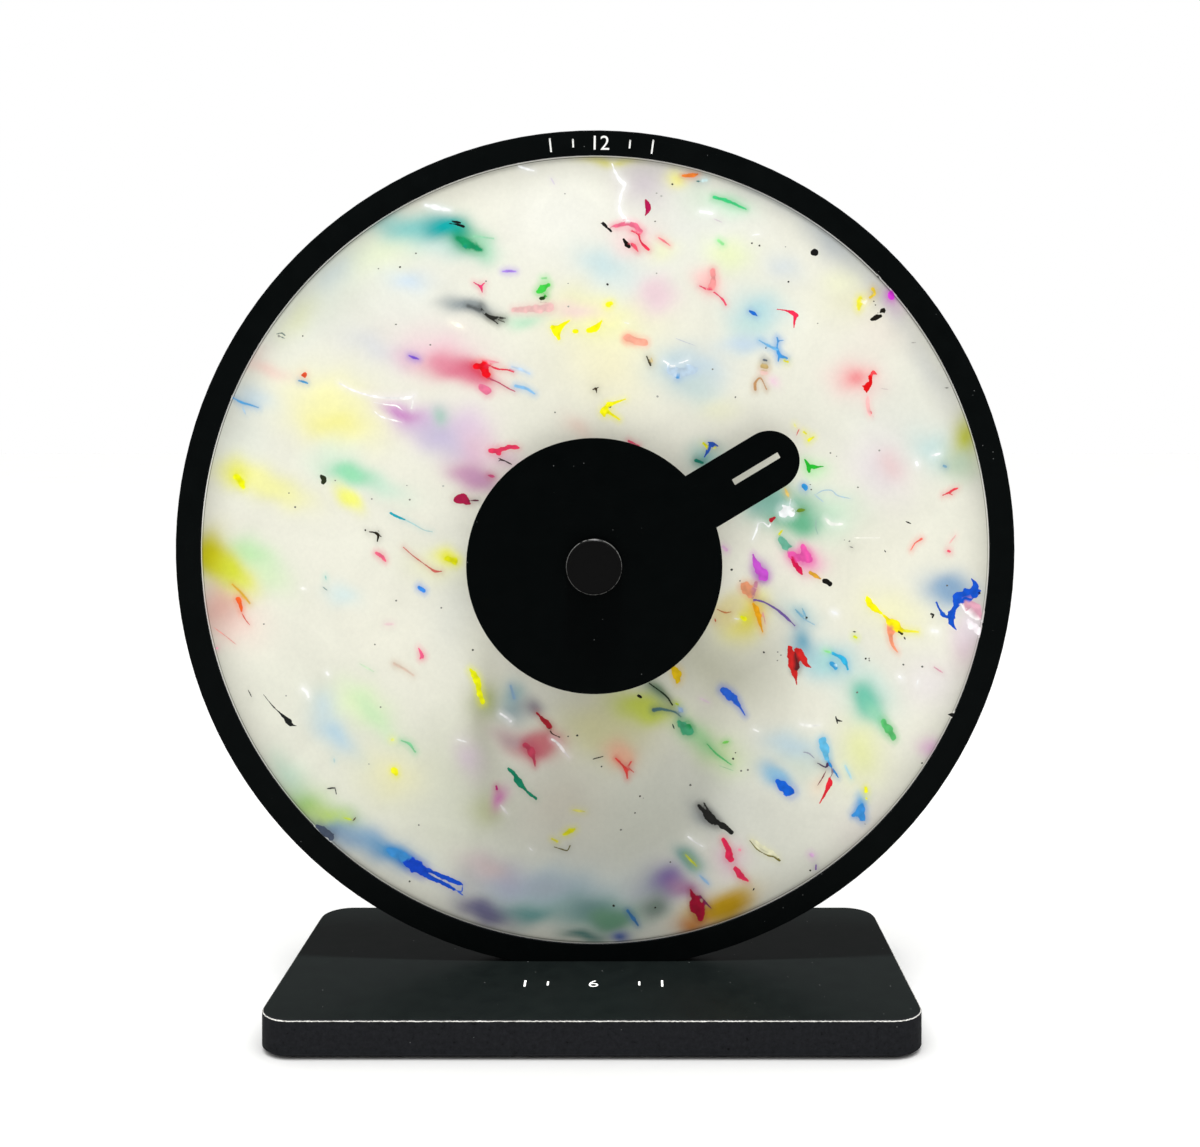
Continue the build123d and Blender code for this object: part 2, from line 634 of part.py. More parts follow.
def coil_plane(from_middle):
    """The plane across the coil, this far to the right of its middle."""
    return Plane(
        origin=(CORE_MIDDLE + from_middle, CORE_Y, CORE_Z), x_dir=(0, 1, 0), z_dir=(1, 0, 0)
    )


with BuildPart() as coil_bobbin:
    with BuildSketch(coil_plane(-COIL_LENGTH / 2)):
        Circle(COIL_TUBE_RADIUS)
    extrude(amount=COIL_LENGTH)
    with BuildSketch(coil_plane(-COIL_LENGTH / 2), coil_plane(COIL_LENGTH / 2 - COIL_FLANGE)):
        Circle(COIL_FLANGE_RADIUS)
    extrude(amount=COIL_FLANGE)
    with BuildSketch(coil_plane(-COIL_LENGTH / 2)):
        Rectangle(STATOR_THICK + 2 * CORE_SLACK, STATOR_LEG + 2 * CORE_SLACK)
    extrude(amount=COIL_LENGTH, mode=Mode.SUBTRACT)
coil_bobbin.part.label = "coil_bobbin"
export_step(coil_bobbin.part, "parts/coil_bobbin.step")

with BuildPart() as coil_winding:
    with BuildSketch(coil_plane(COIL_FLANGE - COIL_LENGTH / 2)):
        Circle(COIL_RADIUS)
        Circle(COIL_TUBE_RADIUS, mode=Mode.SUBTRACT)
    extrude(amount=COIL_LENGTH - 2 * COIL_FLANGE)
coil_winding.part.label = "coil_winding"
export_step(coil_winding.part, "parts/coil_winding.step")

# The circuit board stands left of the knob's arbor, on two posts of the lid
BOARD_BACK = LID_FRONT - BOARD_STANDOFF
BOARD_FRONT = BOARD_BACK - BOARD_THICK
BOARD_LEFT = LID_SEAT + BOARD_SIDE_GAP - CASE_HALF
BOARD_RIGHT = INTERMEDIATE[0] - BOSS_RADIUS - BOARD_ARBOR_GAP
BOARD_X = (BOARD_LEFT + BOARD_RIGHT) / 2
BOARD_TOP = CHAMBER_TOP - BOARD_HEADROOM
BOARD_BOTTOM = CHAMBER_BOTTOM + CONTACT_THICK
BOARD_POSTS = [
    (BOARD_X, BOARD_TOP - BOARD_POST_INSET),
    (BOARD_X, BOARD_BOTTOM + BOARD_POST_INSET),
]
BOARD_MIDDLE_Z = (BOARD_TOP + BOARD_BOTTOM) / 2
with BuildPart() as circuit_board:
    with BuildSketch(facing(BOARD_BACK)):
        with Locations((BOARD_X, BOARD_MIDDLE_Z)):
            Rectangle(BOARD_RIGHT - BOARD_LEFT, BOARD_TOP - BOARD_BOTTOM)
        with Locations(*BOARD_POSTS):
            Circle(POST_PIN_RADIUS + PIN_SLACK, mode=Mode.SUBTRACT)
    extrude(amount=BOARD_THICK)
circuit_board.part.label = "circuit_board"
export_step(circuit_board.part, "parts/circuit_board.step")

with BuildPart() as chip_cap:
    with BuildSketch(facing(BOARD_FRONT, BOARD_X, BOARD_MIDDLE_Z)):
        Circle(CHIP_RADIUS)
    extrude(amount=CHIP_RISE)
    fillet(chip_cap.edges().group_by(Axis.Y)[0], CHIP_EDGE)
chip_cap.part.label = "chip_cap"
export_step(chip_cap.part, "parts/chip_cap.step")

with BuildPart() as quartz_crystal:
    can_bottom = Plane(
        origin=(BOARD_X, BOARD_FRONT - CRYSTAL_RADIUS, BOARD_MIDDLE_Z + CRYSTAL_RISE - CRYSTAL_LENGTH)
    )
    with BuildSketch(can_bottom):
        Circle(CRYSTAL_RADIUS)
    extrude(amount=CRYSTAL_LENGTH)
quartz_crystal.part.label = "quartz_crystal"
export_step(quartz_crystal.part, "parts/quartz_crystal.step")

# Front half of the case: floor, walls, the rib between chamber and bay, posts and saddles
CASE_TOP = CHAMBER_TOP + CASE_WALL
CASE_BOTTOM = BAY_BOTTOM - CASE_WALL
CASE_MIDDLE_Z = (CASE_TOP + CASE_BOTTOM) / 2
STRIP_BACK = LID_FRONT - STRIP_INSET
STRIP_FRONT = STRIP_BACK - STRIP_WIDTH
with BuildPart() as movement_case_front:
    with BuildSketch(facing(CASE_BACK, 0, CASE_MIDDLE_Z)):
        RectangleRounded(2 * (CASE_HALF + CASE_WALL), CASE_TOP - CASE_BOTTOM, CASE_CORNER)
    extrude(amount=CASE_BACK - CASE_FRONT)
    chamfer(movement_case_front.edges().group_by(Axis.Y)[0], CASE_EDGE)
    with BuildSketch(facing(CASE_BACK)):
        with Locations((0, (CHAMBER_TOP + CHAMBER_BOTTOM) / 2)):
            Rectangle(2 * CASE_HALF, CHAMBER_TOP - CHAMBER_BOTTOM)
        with Locations((0, (BAY_TOP + BAY_BOTTOM) / 2)):
            Rectangle(2 * CASE_HALF, BAY_TOP - BAY_BOTTOM)
    extrude(amount=CASE_BACK - CASE_FLOOR, mode=Mode.SUBTRACT)
    with BuildSketch(facing(CASE_BACK)):
        with Locations((0, (CHAMBER_BOTTOM + BAY_TOP) / 2)):
            Rectangle(2 * CASE_HALF, RIB_THICK)
    extrude(amount=CASE_BACK - LID_FRONT, mode=Mode.SUBTRACT)
    with BuildSketch(facing(STRIP_BACK + STRIP_SLACK)):
        with Locations((0, (CHAMBER_BOTTOM + BAY_TOP) / 2)):
            with GridLocations(2 * (CASE_HALF - CONTACT_THICK), 0, 2, 1):
                Rectangle(2 * CONTACT_THICK + STRIP_SLACK, RIB_THICK)
    extrude(amount=STRIP_WIDTH + 2 * STRIP_SLACK, mode=Mode.SUBTRACT)
    with BuildSketch(facing(LID_FRONT)):
        with Locations((0, CHAMBER_TOP - LID_SEAT / 2)):
            with GridLocations(2 * CASE_HALF - LID_SEAT, 0, 2, 1):
                Rectangle(LID_SEAT, LID_SEAT)
    extrude(amount=LID_FRONT - CASE_FLOOR)
    for spot, post_back in ((THIRD, THIRD_POST), (ROTOR, ROTOR_POST)):
        with BuildSketch(facing(post_back, *spot)):
            Circle(BOSS_RADIUS)
        extrude(amount=post_back - CASE_FLOOR)
        with BuildSketch(facing(post_back, *spot)):
            Circle(PIVOT_RADIUS + RUN_FIT)
        extrude(amount=PIVOT_LENGTH + END_SHAKE, mode=Mode.SUBTRACT)
    with BuildSketch(facing(CASE_FLOOR, *INTERMEDIATE)):
        Circle(PIVOT_RADIUS + RUN_FIT)
    extrude(amount=PIVOT_SUNK + RUN_FIT, mode=Mode.SUBTRACT)
    with BuildSketch(facing(CASE_FLOOR, *TIDE)):
        Circle(BUSH_RADIUS + RUN_FIT)
    extrude(amount=CASE_WALL, mode=Mode.SUBTRACT)
    for middle in (-SADDLE_SPREAD / 2, SADDLE_SPREAD / 2):
        saddle_side = Plane(
            origin=(middle - SADDLE_THICK / 2, CELL_Y, CELL_Z), x_dir=(0, 1, 0), z_dir=(1, 0, 0)
        )
        with BuildSketch(saddle_side):
            with Locations((CASE_FLOOR + SADDLE_RISE / 2 - CELL_Y, 0)):
                Rectangle(SADDLE_RISE, BAY_TOP - BAY_BOTTOM)
            Circle(CELL_DIAMETER / 2 + CELL_GAP, mode=Mode.SUBTRACT)
        extrude(amount=SADDLE_THICK)
    with BuildSketch(Plane.XY.offset(CASE_BOTTOM)):
        with Locations((0, CASE_BACK)):
            Circle(FINGER_NOTCH)
    extrude(amount=CASE_WALL, mode=Mode.SUBTRACT)
movement_case_front.part.label = "movement_case_front"
export_step(movement_case_front.part, "parts/movement_case_front.step")

# Rear half of the case: a lid over the chamber, with the arbors' bosses and the pins
LID_BOTTOM = BAY_TOP
LID_TOP = CHAMBER_TOP - LID_FIT
LID_BOSSES = [(TIDE, TIDE_BOSS), (THIRD, THIRD_BOSS), (ROTOR, ROTOR_BOSS)]
with BuildPart() as movement_case_rear:
    with BuildSketch(facing(CASE_BACK, 0, (LID_TOP + LID_BOTTOM) / 2)):
        Rectangle(2 * (CASE_HALF - LID_FIT), LID_TOP - LID_BOTTOM)
    extrude(amount=LID_THICK)
    for spot, boss_front in LID_BOSSES:
        with BuildSketch(facing(LID_FRONT, *spot)):
            Circle(BOSS_RADIUS)
        extrude(amount=LID_FRONT - boss_front)
        with BuildSketch(facing(boss_front + PIVOT_LENGTH + END_SHAKE, *spot)):
            Circle(PIVOT_RADIUS + RUN_FIT)
        extrude(amount=PIVOT_LENGTH + END_SHAKE, mode=Mode.SUBTRACT)
    with BuildSketch(facing(LID_FRONT, *INTERMEDIATE)):
        Circle(BOSS_RADIUS)
    extrude(amount=LID_BEARING)
    with BuildSketch(facing(CASE_BACK, *INTERMEDIATE)):
        Circle(ARBOR_RADIUS + RUN_FIT)
    extrude(amount=LID_THICK + LID_BEARING, mode=Mode.SUBTRACT)
    for posts, back, thick in (
        (STATOR_POSTS, STATOR_BACK, STATOR_THICK),
        (BOARD_POSTS, BOARD_BACK, BOARD_THICK),
    ):
        with BuildSketch(facing(LID_FRONT)):
            with Locations(*posts):
                Circle(POST_RADIUS)
        extrude(amount=LID_FRONT - back)
        with BuildSketch(facing(LID_FRONT)):
            with Locations(*posts):
                Circle(POST_PIN_RADIUS)
        extrude(amount=LID_FRONT - back + thick + POST_PIN_PROUD)
movement_case_rear.part.label = "movement_case_rear"
export_step(movement_case_rear.part, "parts/movement_case_rear.step")

# The battery cell, with its nub to the right
with BuildPart() as battery_cell:
    across_end = Plane(origin=(CELL_END, CELL_Y, CELL_Z), x_dir=(0, 1, 0), z_dir=(1, 0, 0))
    with BuildSketch(across_end):
        Circle(CELL_DIAMETER / 2)
    extrude(amount=CELL_LENGTH - CELL_NUB)
    fillet(battery_cell.edges().filter_by(GeomType.CIRCLE), CELL_EDGE)
    with BuildSketch(across_end):
        Circle(CELL_NUB_RADIUS)
    extrude(amount=CELL_LENGTH)
battery_cell.part.label = "battery_cell"
export_step(battery_cell.part, "parts/battery_cell.step")

# Each contact stands against an end wall and goes up through the rib to the circuit board
STRIP_Y = (STRIP_FRONT + STRIP_BACK) / 2
TAIL_TOP = CHAMBER_BOTTOM + CONTACT_THICK
PLATE_BOTTOM = CELL_Z - CONTACT_HEIGHT / 2


def contact_blade(side):
    """The blade on one end wall, with its tail, and the strip that runs to the board."""
    wall_plane = Plane(origin=(side * CASE_HALF, 0, 0), x_dir=(0, 1, 0), z_dir=(1, 0, 0))
    with BuildSketch(wall_plane) as blade:
        with Locations((CELL_Y, CELL_Z)):
            Rectangle(CONTACT_WIDTH, CONTACT_HEIGHT)
        with Locations((STRIP_Y, (PLATE_BOTTOM + TAIL_TOP) / 2)):
            Rectangle(STRIP_WIDTH, TAIL_TOP - PLATE_BOTTOM)
    extrude(blade.sketch, amount=-side * CONTACT_THICK)
    reach = BOARD_LEFT + STRIP_LAP if side < 0 else BOARD_RIGHT - STRIP_LAP
    with BuildSketch(facing(STRIP_BACK)) as strip:
        with Locations(((side * CASE_HALF + reach) / 2, CHAMBER_BOTTOM + CONTACT_THICK / 2)):
            Rectangle(abs(side * CASE_HALF - reach), CONTACT_THICK)
    extrude(strip.sketch, amount=STRIP_WIDTH)


with BuildPart() as battery_contact_positive:
    contact_blade(1)
battery_contact_positive.part.label = "battery_contact_positive"
export_step(battery_contact_positive.part, "parts/battery_contact_positive.step")

with BuildPart() as battery_contact_negative:
    contact_blade(-1)
    leaf_foot = CONTACT_THICK - CASE_HALF
    with BuildSketch(facing(CELL_Y + LEAF_WIDTH / 2)):
        with BuildLine():
            low = (leaf_foot, CELL_Z - LEAF_SPAN / 2)
            high = (leaf_foot, CELL_Z + LEAF_SPAN / 2)
            crest = (leaf_foot + LEAF_RISE, CELL_Z)
            inner_crest = (leaf_foot + LEAF_RISE - LEAF_THICK, CELL_Z)
            inner_low = (leaf_foot, CELL_Z - LEAF_SPAN / 2 + LEAF_THICK)
            inner_high = (leaf_foot, CELL_Z + LEAF_SPAN / 2 - LEAF_THICK)
            ThreePointArc(low, crest, high)
            Line(high, inner_high)
            ThreePointArc(inner_high, inner_crest, inner_low)
            Line(inner_low, low)
        make_face()
    extrude(amount=LEAF_WIDTH)
battery_contact_negative.part.label = "battery_contact_negative"
export_step(battery_contact_negative.part, "parts/battery_contact_negative.step")

# The set knob on the intermediate arbor, fluted round its edge
with BuildPart() as set_knob:
    with BuildSketch(facing(KNOB_BACK, *INTERMEDIATE)):
        Circle(KNOB_RADIUS)
        with PolarLocations(KNOB_RADIUS, KNOB_FLUTE_COUNT):
            Circle(KNOB_FLUTE_RADIUS, mode=Mode.SUBTRACT)
    extrude(amount=KNOB_THICK)
    chamfer(set_knob.edges().group_by(Axis.Y)[-1], KNOB_EDGE)
    with BuildSketch(facing(KNOB_BACK - KNOB_RECESS, *INTERMEDIATE)):
        Circle(ARBOR_RADIUS + HUB_FIT)
    extrude(amount=KNOB_THICK - KNOB_RECESS, mode=Mode.SUBTRACT)
set_knob.part.label = "set_knob"
export_step(set_knob.part, "parts/set_knob.step")

# The hub: a collet on the spindle, a flange behind the plate and a spigot through it
with BuildPart() as hand_hub:
    turn(
        TIDE,
        (PLATE_FRONT, CAP_PIN_RADIUS + HUB_FIT),
        (PLATE_FRONT, HUB_SPIGOT_RADIUS),
        (PLATE_BACK, HUB_SPIGOT_RADIUS),
        (PLATE_BACK, HUB_FLANGE_RADIUS),
        (PLATE_BACK + HUB_FLANGE, HUB_FLANGE_RADIUS),
        (PLATE_BACK + HUB_FLANGE, HUB_RADIUS),
        (HUB_REAR, HUB_RADIUS),
        (HUB_REAR, SPINDLE_RADIUS + HUB_FIT),
        (SPINDLE_TIP, SPINDLE_RADIUS + HUB_FIT),
        (SPINDLE_TIP, 0),
        (SPINDLE_TIP - HUB_WEB, 0),
        (SPINDLE_TIP - HUB_WEB, CAP_PIN_RADIUS + HUB_FIT),
    )
hand_hub.part.label = "hand_hub"
export_step(hand_hub.part, "parts/hand_hub.step")

# The hand: a disc with a round-ended tab, and a slit along the tab
with BuildPart() as hand_plate:
    with BuildSketch(facing(PLATE_BACK, *TIDE)):
        Circle(HAND_RADIUS)
        with Locations(polar(TAB_LENGTH / 2, math.radians(HAND_ANGLE))):
            SlotCenterToCenter(TAB_LENGTH, TAB_WIDTH, rotation=HAND_ANGLE)
        with Locations(polar(SLIT_OFFSET + SLIT_LENGTH / 2, math.radians(HAND_ANGLE))):
            RectangleRounded(
                SLIT_LENGTH, SLIT_WIDTH, SLIT_CORNER, rotation=HAND_ANGLE, mode=Mode.SUBTRACT
            )
        Circle(HUB_SPIGOT_RADIUS + HUB_FIT, mode=Mode.SUBTRACT)
    extrude(amount=HAND_THICK)
hand_plate.part.label = "hand_plate"
export_step(hand_plate.part, "parts/hand_plate.step")

# The cap: bevelled in front, pinned into the hub
with BuildPart() as centre_cap:
    turn(
        TIDE,
        (PLATE_FRONT - CAP_THICK, 0),
        (PLATE_FRONT - CAP_THICK, CAP_RADIUS - CAP_CHAMFER),
        (PLATE_FRONT - CAP_THICK + CAP_CHAMFER, CAP_RADIUS),
        (PLATE_FRONT, CAP_RADIUS),
        (PLATE_FRONT, CAP_PIN_RADIUS),
        (PLATE_FRONT + CAP_PIN, CAP_PIN_RADIUS),
        (PLATE_FRONT + CAP_PIN, 0),
    )
centre_cap.part.label = "centre_cap"
export_step(centre_cap.part, "parts/centre_cap.step")
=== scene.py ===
import math

import bpy
import numpy as np
from mathutils import Matrix, Vector


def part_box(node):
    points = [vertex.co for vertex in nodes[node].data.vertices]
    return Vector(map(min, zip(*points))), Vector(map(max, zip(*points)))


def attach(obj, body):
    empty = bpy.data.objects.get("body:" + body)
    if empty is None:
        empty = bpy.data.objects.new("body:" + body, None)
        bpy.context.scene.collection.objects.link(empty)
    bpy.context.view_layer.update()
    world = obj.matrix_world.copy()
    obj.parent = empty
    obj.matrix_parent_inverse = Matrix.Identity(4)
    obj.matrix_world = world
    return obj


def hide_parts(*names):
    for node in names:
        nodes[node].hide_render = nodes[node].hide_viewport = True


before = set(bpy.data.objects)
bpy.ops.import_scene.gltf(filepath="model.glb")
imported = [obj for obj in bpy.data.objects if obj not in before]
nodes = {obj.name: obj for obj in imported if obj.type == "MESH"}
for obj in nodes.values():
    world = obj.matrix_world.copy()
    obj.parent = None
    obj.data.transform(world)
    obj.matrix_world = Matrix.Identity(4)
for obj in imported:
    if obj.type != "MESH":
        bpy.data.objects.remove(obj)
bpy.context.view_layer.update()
MM = 0.001

# Studio
# A white table in a pale room, with one soft lamp high over the clock and a little before it.
# The camera stands level in front, a little right of the middle, as in the photograph.
bpy.ops.object.select_all(action="DESELECT")
bpy.ops.mesh.primitive_plane_add(size=30)
table_top = bpy.context.object
table_top.name = "studio_table"


def linear(text):
    """The linear colour of an sRGB hex value."""
    parts = [int(text[i:i + 2], 16) / 255 for i in (0, 2, 4)]
    return [p / 12.92 if p <= 0.04045 else ((p + 0.055) / 1.055) ** 2.4 for p in parts] + [1.0]


def add(tree, kind, *inputs, **settings):
    """Adds a node, or sets up one that is there, and gives the first of its outputs in use.

    Inputs stand in their order, or by name or number among the settings. Another node's output is
    linked to one, a hex colour is made linear, and a value is set.
    """
    made = tree.nodes.new("ShaderNode" + kind) if isinstance(kind, str) else kind
    for key, value in [*settings.items(), *enumerate(inputs)]:
        if isinstance(key, str) and hasattr(made, key):
            setattr(made, key, value)
            continue
        if isinstance(key, str):
            key = int(key[1:]) if key[1:].isdigit() else key.replace("_", " ")
        if isinstance(value, bpy.types.NodeSocket):
            tree.links.new(value, made.inputs[key])
        else:
            made.inputs[key].default_value = linear(value) if isinstance(value, str) else value
    return next(out for out in made.outputs if out.enabled)


def finish_of(name, **settings):
    """A new material: its tree, its Principled shader, and the Object coordinates in metres."""
    made = bpy.data.materials.new(name)
    made.use_nodes = True
    tree = made.node_tree
    shader = tree.nodes["Principled BSDF"]
    add(tree, shader, **settings)
    return made, tree, shader, add(tree, "TexCoord").node.outputs["Object"]


def grained(name, dark, pale, size, roughness, depth=0.2, detail=4, lay=None, turned=None, **settings):
    """A two-tone finish whose grain also shapes its surface, and its gloss between two values.

    The grain's size is in millimetres, stretched by lay (a smaller number is longer), or the grain
    runs in rings round an axis along Y at the turned spot.
    """
    made, tree, shader, place = finish_of(name, **settings)
    if turned:
        along = add(tree, "SeparateXYZ", place).node.outputs["Y"]
        place = add(tree, "CombineXYZ", X=radius_from(tree, place, *turned), Y=along)
    if lay:
        place = add(tree, "VectorMath", place, lay, operation="MULTIPLY")
    grain = add(tree, "TexNoise", Vector=place, Scale=1 / (size * MM), Detail=detail)
    tone = add(tree, "Mix", data_type="RGBA", Factor=grain, _6=dark, _7=pale)
    if isinstance(roughness, tuple):
        roughness = add(tree, "MapRange", grain, 0, 1, roughness[0], roughness[1])
    add(tree, shader, Base_Color=tone, Roughness=roughness)
    if depth:
        add(tree, shader, Normal=add(tree, "Bump", Height=grain, Strength=depth, Distance=0.05 * MM))
    return made, tree, shader, tone


def dress(material, *pieces):
    """Gives pieces, or CAD nodes by their names, one material all over."""
    for piece in pieces:
        piece = nodes[piece] if isinstance(piece, str) else piece
        piece.data.materials.clear()
        piece.data.materials.append(material)


# Matt white card, with the faint unevenness of a painted sweep.
card, *_ = grained("matt_white_card", "F9F9F8", "FDFDFC", 333, 0.9, 0, 2, Specular_IOR_Level=0.1)
dress(card, table_top)

# The room: bright behind and overhead, dim on the camera's side, and plain white where it is seen.
world = bpy.data.worlds.new("pale_room")
bpy.context.scene.world = world
world.use_nodes = True
room = world.node_tree
_, y, z = add(room, "SeparateXYZ", add(room, "TexCoord")).node.outputs
depth = add(room, "MapRange", y, -0.6, 0.6, 0.6, 0.78)
height = add(room, "MapRange", z, 0.15, 1, 0.27, 2.35)
glow = add(room, "Math", depth, height, operation="MULTIPLY")
seen = add(room, "Mix", Factor=add(room, "LightPath"), _2=glow, _3=1.0)
add(room, room.nodes["Background"], Color=(1, 1, 1, 1), Strength=seen)


def lamp(name, place, aim, width, depth, power, lights):
    """A soft rectangular lamp at a place, turned to a point, which lights one collection."""
    bpy.ops.object.light_add(type="AREA", location=place)
    made = bpy.context.object
    made.name = name
    made.data.shape = "RECTANGLE"
    made.data.size = width
    made.data.size_y = depth
    made.data.energy = power
    made.rotation_euler = (Vector(aim) - Vector(place)).to_track_quat("-Z", "Y").to_euler()
    made.light_linking.receiver_collection = lights


# The lamp is flagged off the table. A broad lamp for the table alone keeps it white right up to
# the slab.
clock_only = bpy.data.collections.new("lit_by_softbox")
clock_only.objects.link(table_top)
clock_only.collection_objects[0].light_linking.link_state = "EXCLUDE"
lamp("overhead_softbox", (0.04, -0.38, 2.7), (0, 0, 0.1), 0.42, 0.25, 152, clock_only)
table_only = bpy.data.collections.new("lit_by_table_lamp")
table_only.objects.link(table_top)
lamp("table_lamp", (0, -0.6, 1.6), (0, 0, 0), 1.6, 1.2, 10, table_only)

bpy.ops.object.camera_add(location=(0.0113, -0.4506, 0.1789), rotation=(math.pi / 2, 0, 0))
camera = bpy.context.object
camera.name = "photo_camera"
camera.data.lens = 42.05
camera.data.sensor_width = 36
camera.data.shift_x = -0.0254
camera.data.shift_y = -0.11375
camera.data.clip_start = 0.01
bpy.context.scene.camera = camera
bpy.context.scene.view_settings.view_transform = "Standard"
bpy.context.scene.view_settings.look = "None"


# Base slab
# The flat foot of the clock: 10.5 mm through-dyed black fibreboard, routed to a rounded
# rectangle, its faces sanded and oiled and its edges left as the cutter made them.
BLOTCH, BUNDLE, DUST_CELL, NICK = 6.25 * MM, 1.43 * MM, 3.03 * MM, 0.667 * MM
WORN_AND_LIT_BELOW_TOP, WORN_AND_LIT_HALF, WORN_AND_LIT_RAGGED = 0.3 * MM, 0.1 * MM, 0.06 * MM


def board_finish(name, dark, pale, face_axis, worn_and_lit=None):
    """Black fibreboard: a satin face of two tones with dust, and mottled routed edges.

    One arris can carry a pale line, wear lightened into a painted highlight, where its chamfer lies so
    many metres along the face's axis.
    """
    made, tree, shader, place = finish_of(name, Specular_IOR_Level=0.02)
    normal = add(tree, "SeparateXYZ", place.node.outputs["Normal"]).node
    flat = add(tree, "Math", normal.outputs[face_axis], operation="ABSOLUTE")
    is_face = add(tree, "MapRange", flat, 0.85, 0.97)
    # Faces: faint blotches, where the oil has sunk in. Edges: bundles of fibre, with a few pits painted
    # darker as the shade in their hollows.
    blotch = add(tree, "TexNoise", Vector=place, Scale=1 / BLOTCH, Detail=3)
    face = add(tree, "Mix", data_type="RGBA", Factor=blotch, _6=dark, _7=pale)
    bundle = add(tree, "TexNoise", Vector=place, Scale=1 / BUNDLE, Detail=5, Roughness=0.7)
    band = add(tree, "MapRange", bundle, 0.25, 0.75)
    edge = add(tree, "Mix", data_type="RGBA", Factor=band, _6="18191B", _7="242528")
    pit_shade = add(tree, "MapRange", bundle, 0.3, 0.36)
    edge = add(tree, "Mix", data_type="RGBA", Factor=pit_shade, _6="0A0B0C", _7=edge)
    base = add(tree, "Mix", data_type="RGBA", Factor=is_face, _6=edge, _7=face)
    # Dust: grains up to 0.3 mm across, one in each cell and few of them kept.
    near = add(tree, "TexVoronoi", Vector=place, Scale=1 / DUST_CELL)
    pick = add(tree, "SeparateColor", near.node.outputs["Color"])
    near = add(tree, "Math", near, 0.055, operation="LESS_THAN")
    kept = add(tree, "Math", pick, 0.8, operation="GREATER_THAN")
    dust = add(tree, "Math", near, kept, operation="MULTIPLY")
    base = add(tree, "Mix", data_type="RGBA", Factor=dust, _6=base, _7="5A5C5B")
    if worn_and_lit:
        # A ragged pale line about 0.2 mm wide on the arris: rubbed wear, lightened into a painted
        # highlight where the chamfer meets the light.
        spot = add(tree, "SeparateXYZ", place).node
        jitter = add(tree, "TexNoise", Vector=place, Scale=1 / NICK, Detail=2)
        shift = add(tree, "MapRange", jitter, 0.3, 0.7, -WORN_AND_LIT_RAGGED, WORN_AND_LIT_RAGGED)
        level = add(tree, "Math", spot.outputs[face_axis], shift, operation="ADD")
        line = add(tree, "Math", level, worn_and_lit, WORN_AND_LIT_HALF, operation="COMPARE")
        slope = add(tree, "Math", flat, 0.3, operation="GREATER_THAN")
        line = add(tree, "Math", line, slope, operation="MULTIPLY")
        bright = add(tree, "Mix", data_type="RGBA", Factor=band, _6="66645F", _7="CCCBC6")
        base = add(tree, "Mix", data_type="RGBA", Factor=line, _6=base, _7=bright)
    satin = add(tree, "MapRange", blotch, 0, 1, 0.34, 0.46)
    rough = add(tree, "Mix", Factor=is_face, _2=0.62, _3=satin)
    depth = add(tree, "MapRange", is_face, 0, 1, 0.8, 0.06)
    bump = add(tree, "Bump", Height=bundle, Strength=depth, Distance=0.1 * MM)
    add(tree, shader, Base_Color=base, Roughness=rough, Normal=bump)
    return made


SLAB_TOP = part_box("base_slab")[1].z
# The slab's copy of the fibreboard is toned lighter than the ring's: painted sheen, standing in for the
# light on its top.
dress(board_finish("oiled_black_fibreboard_slab", "070A0A", "101413", "Z", SLAB_TOP - WORN_AND_LIT_BELOW_TOP),
      "base_slab")

# Number marks
# Generic dial numbers in white screen ink, 0.03 mm thick and a little thin in spots: a 6 flanked by
# ticks on the slab's top, and a 12 flanked by ticks on the ring's top.
ink, *_ = grained("white_screen_ink", "D2D2CF", "F6F6F3", 0.385, 0.55, 0, 3)
INK = 0.03 * MM
FILM = 0.01 * MM
TICK_WIDE = 0.6 * MM


def figure(text, height, thinner=0.0):
    """A number as flat mesh on the XY plane, centred, its cap height as given."""
    bpy.ops.object.select_all(action="DESELECT")
    bpy.ops.object.text_add()
    made = bpy.context.object
    made.data.body = text
    made.data.align_x = "CENTER"
    made.data.align_y = "CENTER"
    made.data.extrude = 0.1
    made.data.offset = -thinner
    bpy.ops.object.convert(target="MESH")
    made = bpy.context.object
    spots = [v.co for v in made.data.vertices]
    low, high = (Vector(end(c[i] for c in spots) for i in range(3)) for end in (min, max))
    made.data.transform(Matrix.Translation(-(low + high) / 2))
    scale = height / (high.y - low.y)
    made.data.transform(Matrix.Diagonal((scale, scale, INK / (high.z - low.z), 1)))
    return made


def tick(x, wide, high):
    """An upright stroke of ink on the XY plane."""
    bpy.ops.object.select_all(action="DESELECT")
    bpy.ops.mesh.primitive_cube_add(size=1, location=(x, 0, 0), scale=(wide, high, INK))
    made = bpy.context.object
    bpy.ops.object.transform_apply(location=True, rotation=True, scale=True)
    bpy.ops.object.mode_set(mode="EDIT")
    bpy.ops.mesh.select_all(action="SELECT")
    bpy.ops.mesh.bevel(offset=0.12 * MM, segments=3, affect="EDGES")
    bpy.ops.object.mode_set(mode="OBJECT")
    return made


def joined(name, *parts):
    """One object of several, at the origin, in ink."""
    bpy.ops.object.select_all(action="DESELECT")
    for part in parts:
        part.select_set(True)
    bpy.context.view_layer.objects.active = parts[0]
    bpy.ops.object.join()
    made = bpy.context.object
    made.name = made.data.name = name
    dress(ink, made)
    return made


SIX_HEIGHT = 4.8 * MM
SIX_Y = -21.4 * MM
six = joined("slab_number_six", figure("6", SIX_HEIGHT, 0.014), *(
    tick(x * MM, TICK_WIDE, SIX_HEIGHT * share)
    for x, share in ((-21, 1), (-14, 0.6), (14, 0.6), (21, 1))))
six.data.transform(Matrix.Translation((0, SIX_Y, SLAB_TOP + FILM)))
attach(six, "stand")

# Feet
# Four low self-adhesive pads of black rubber under the slab's corners, cut from sheet: dull, with
# a grey bloom.
rubber, *_ = grained("black_sheet_rubber", "131313", "262626", 1.43, 0.8, 0.8, Specular_IOR_Level=0.3)
dress(rubber, "base_feet")

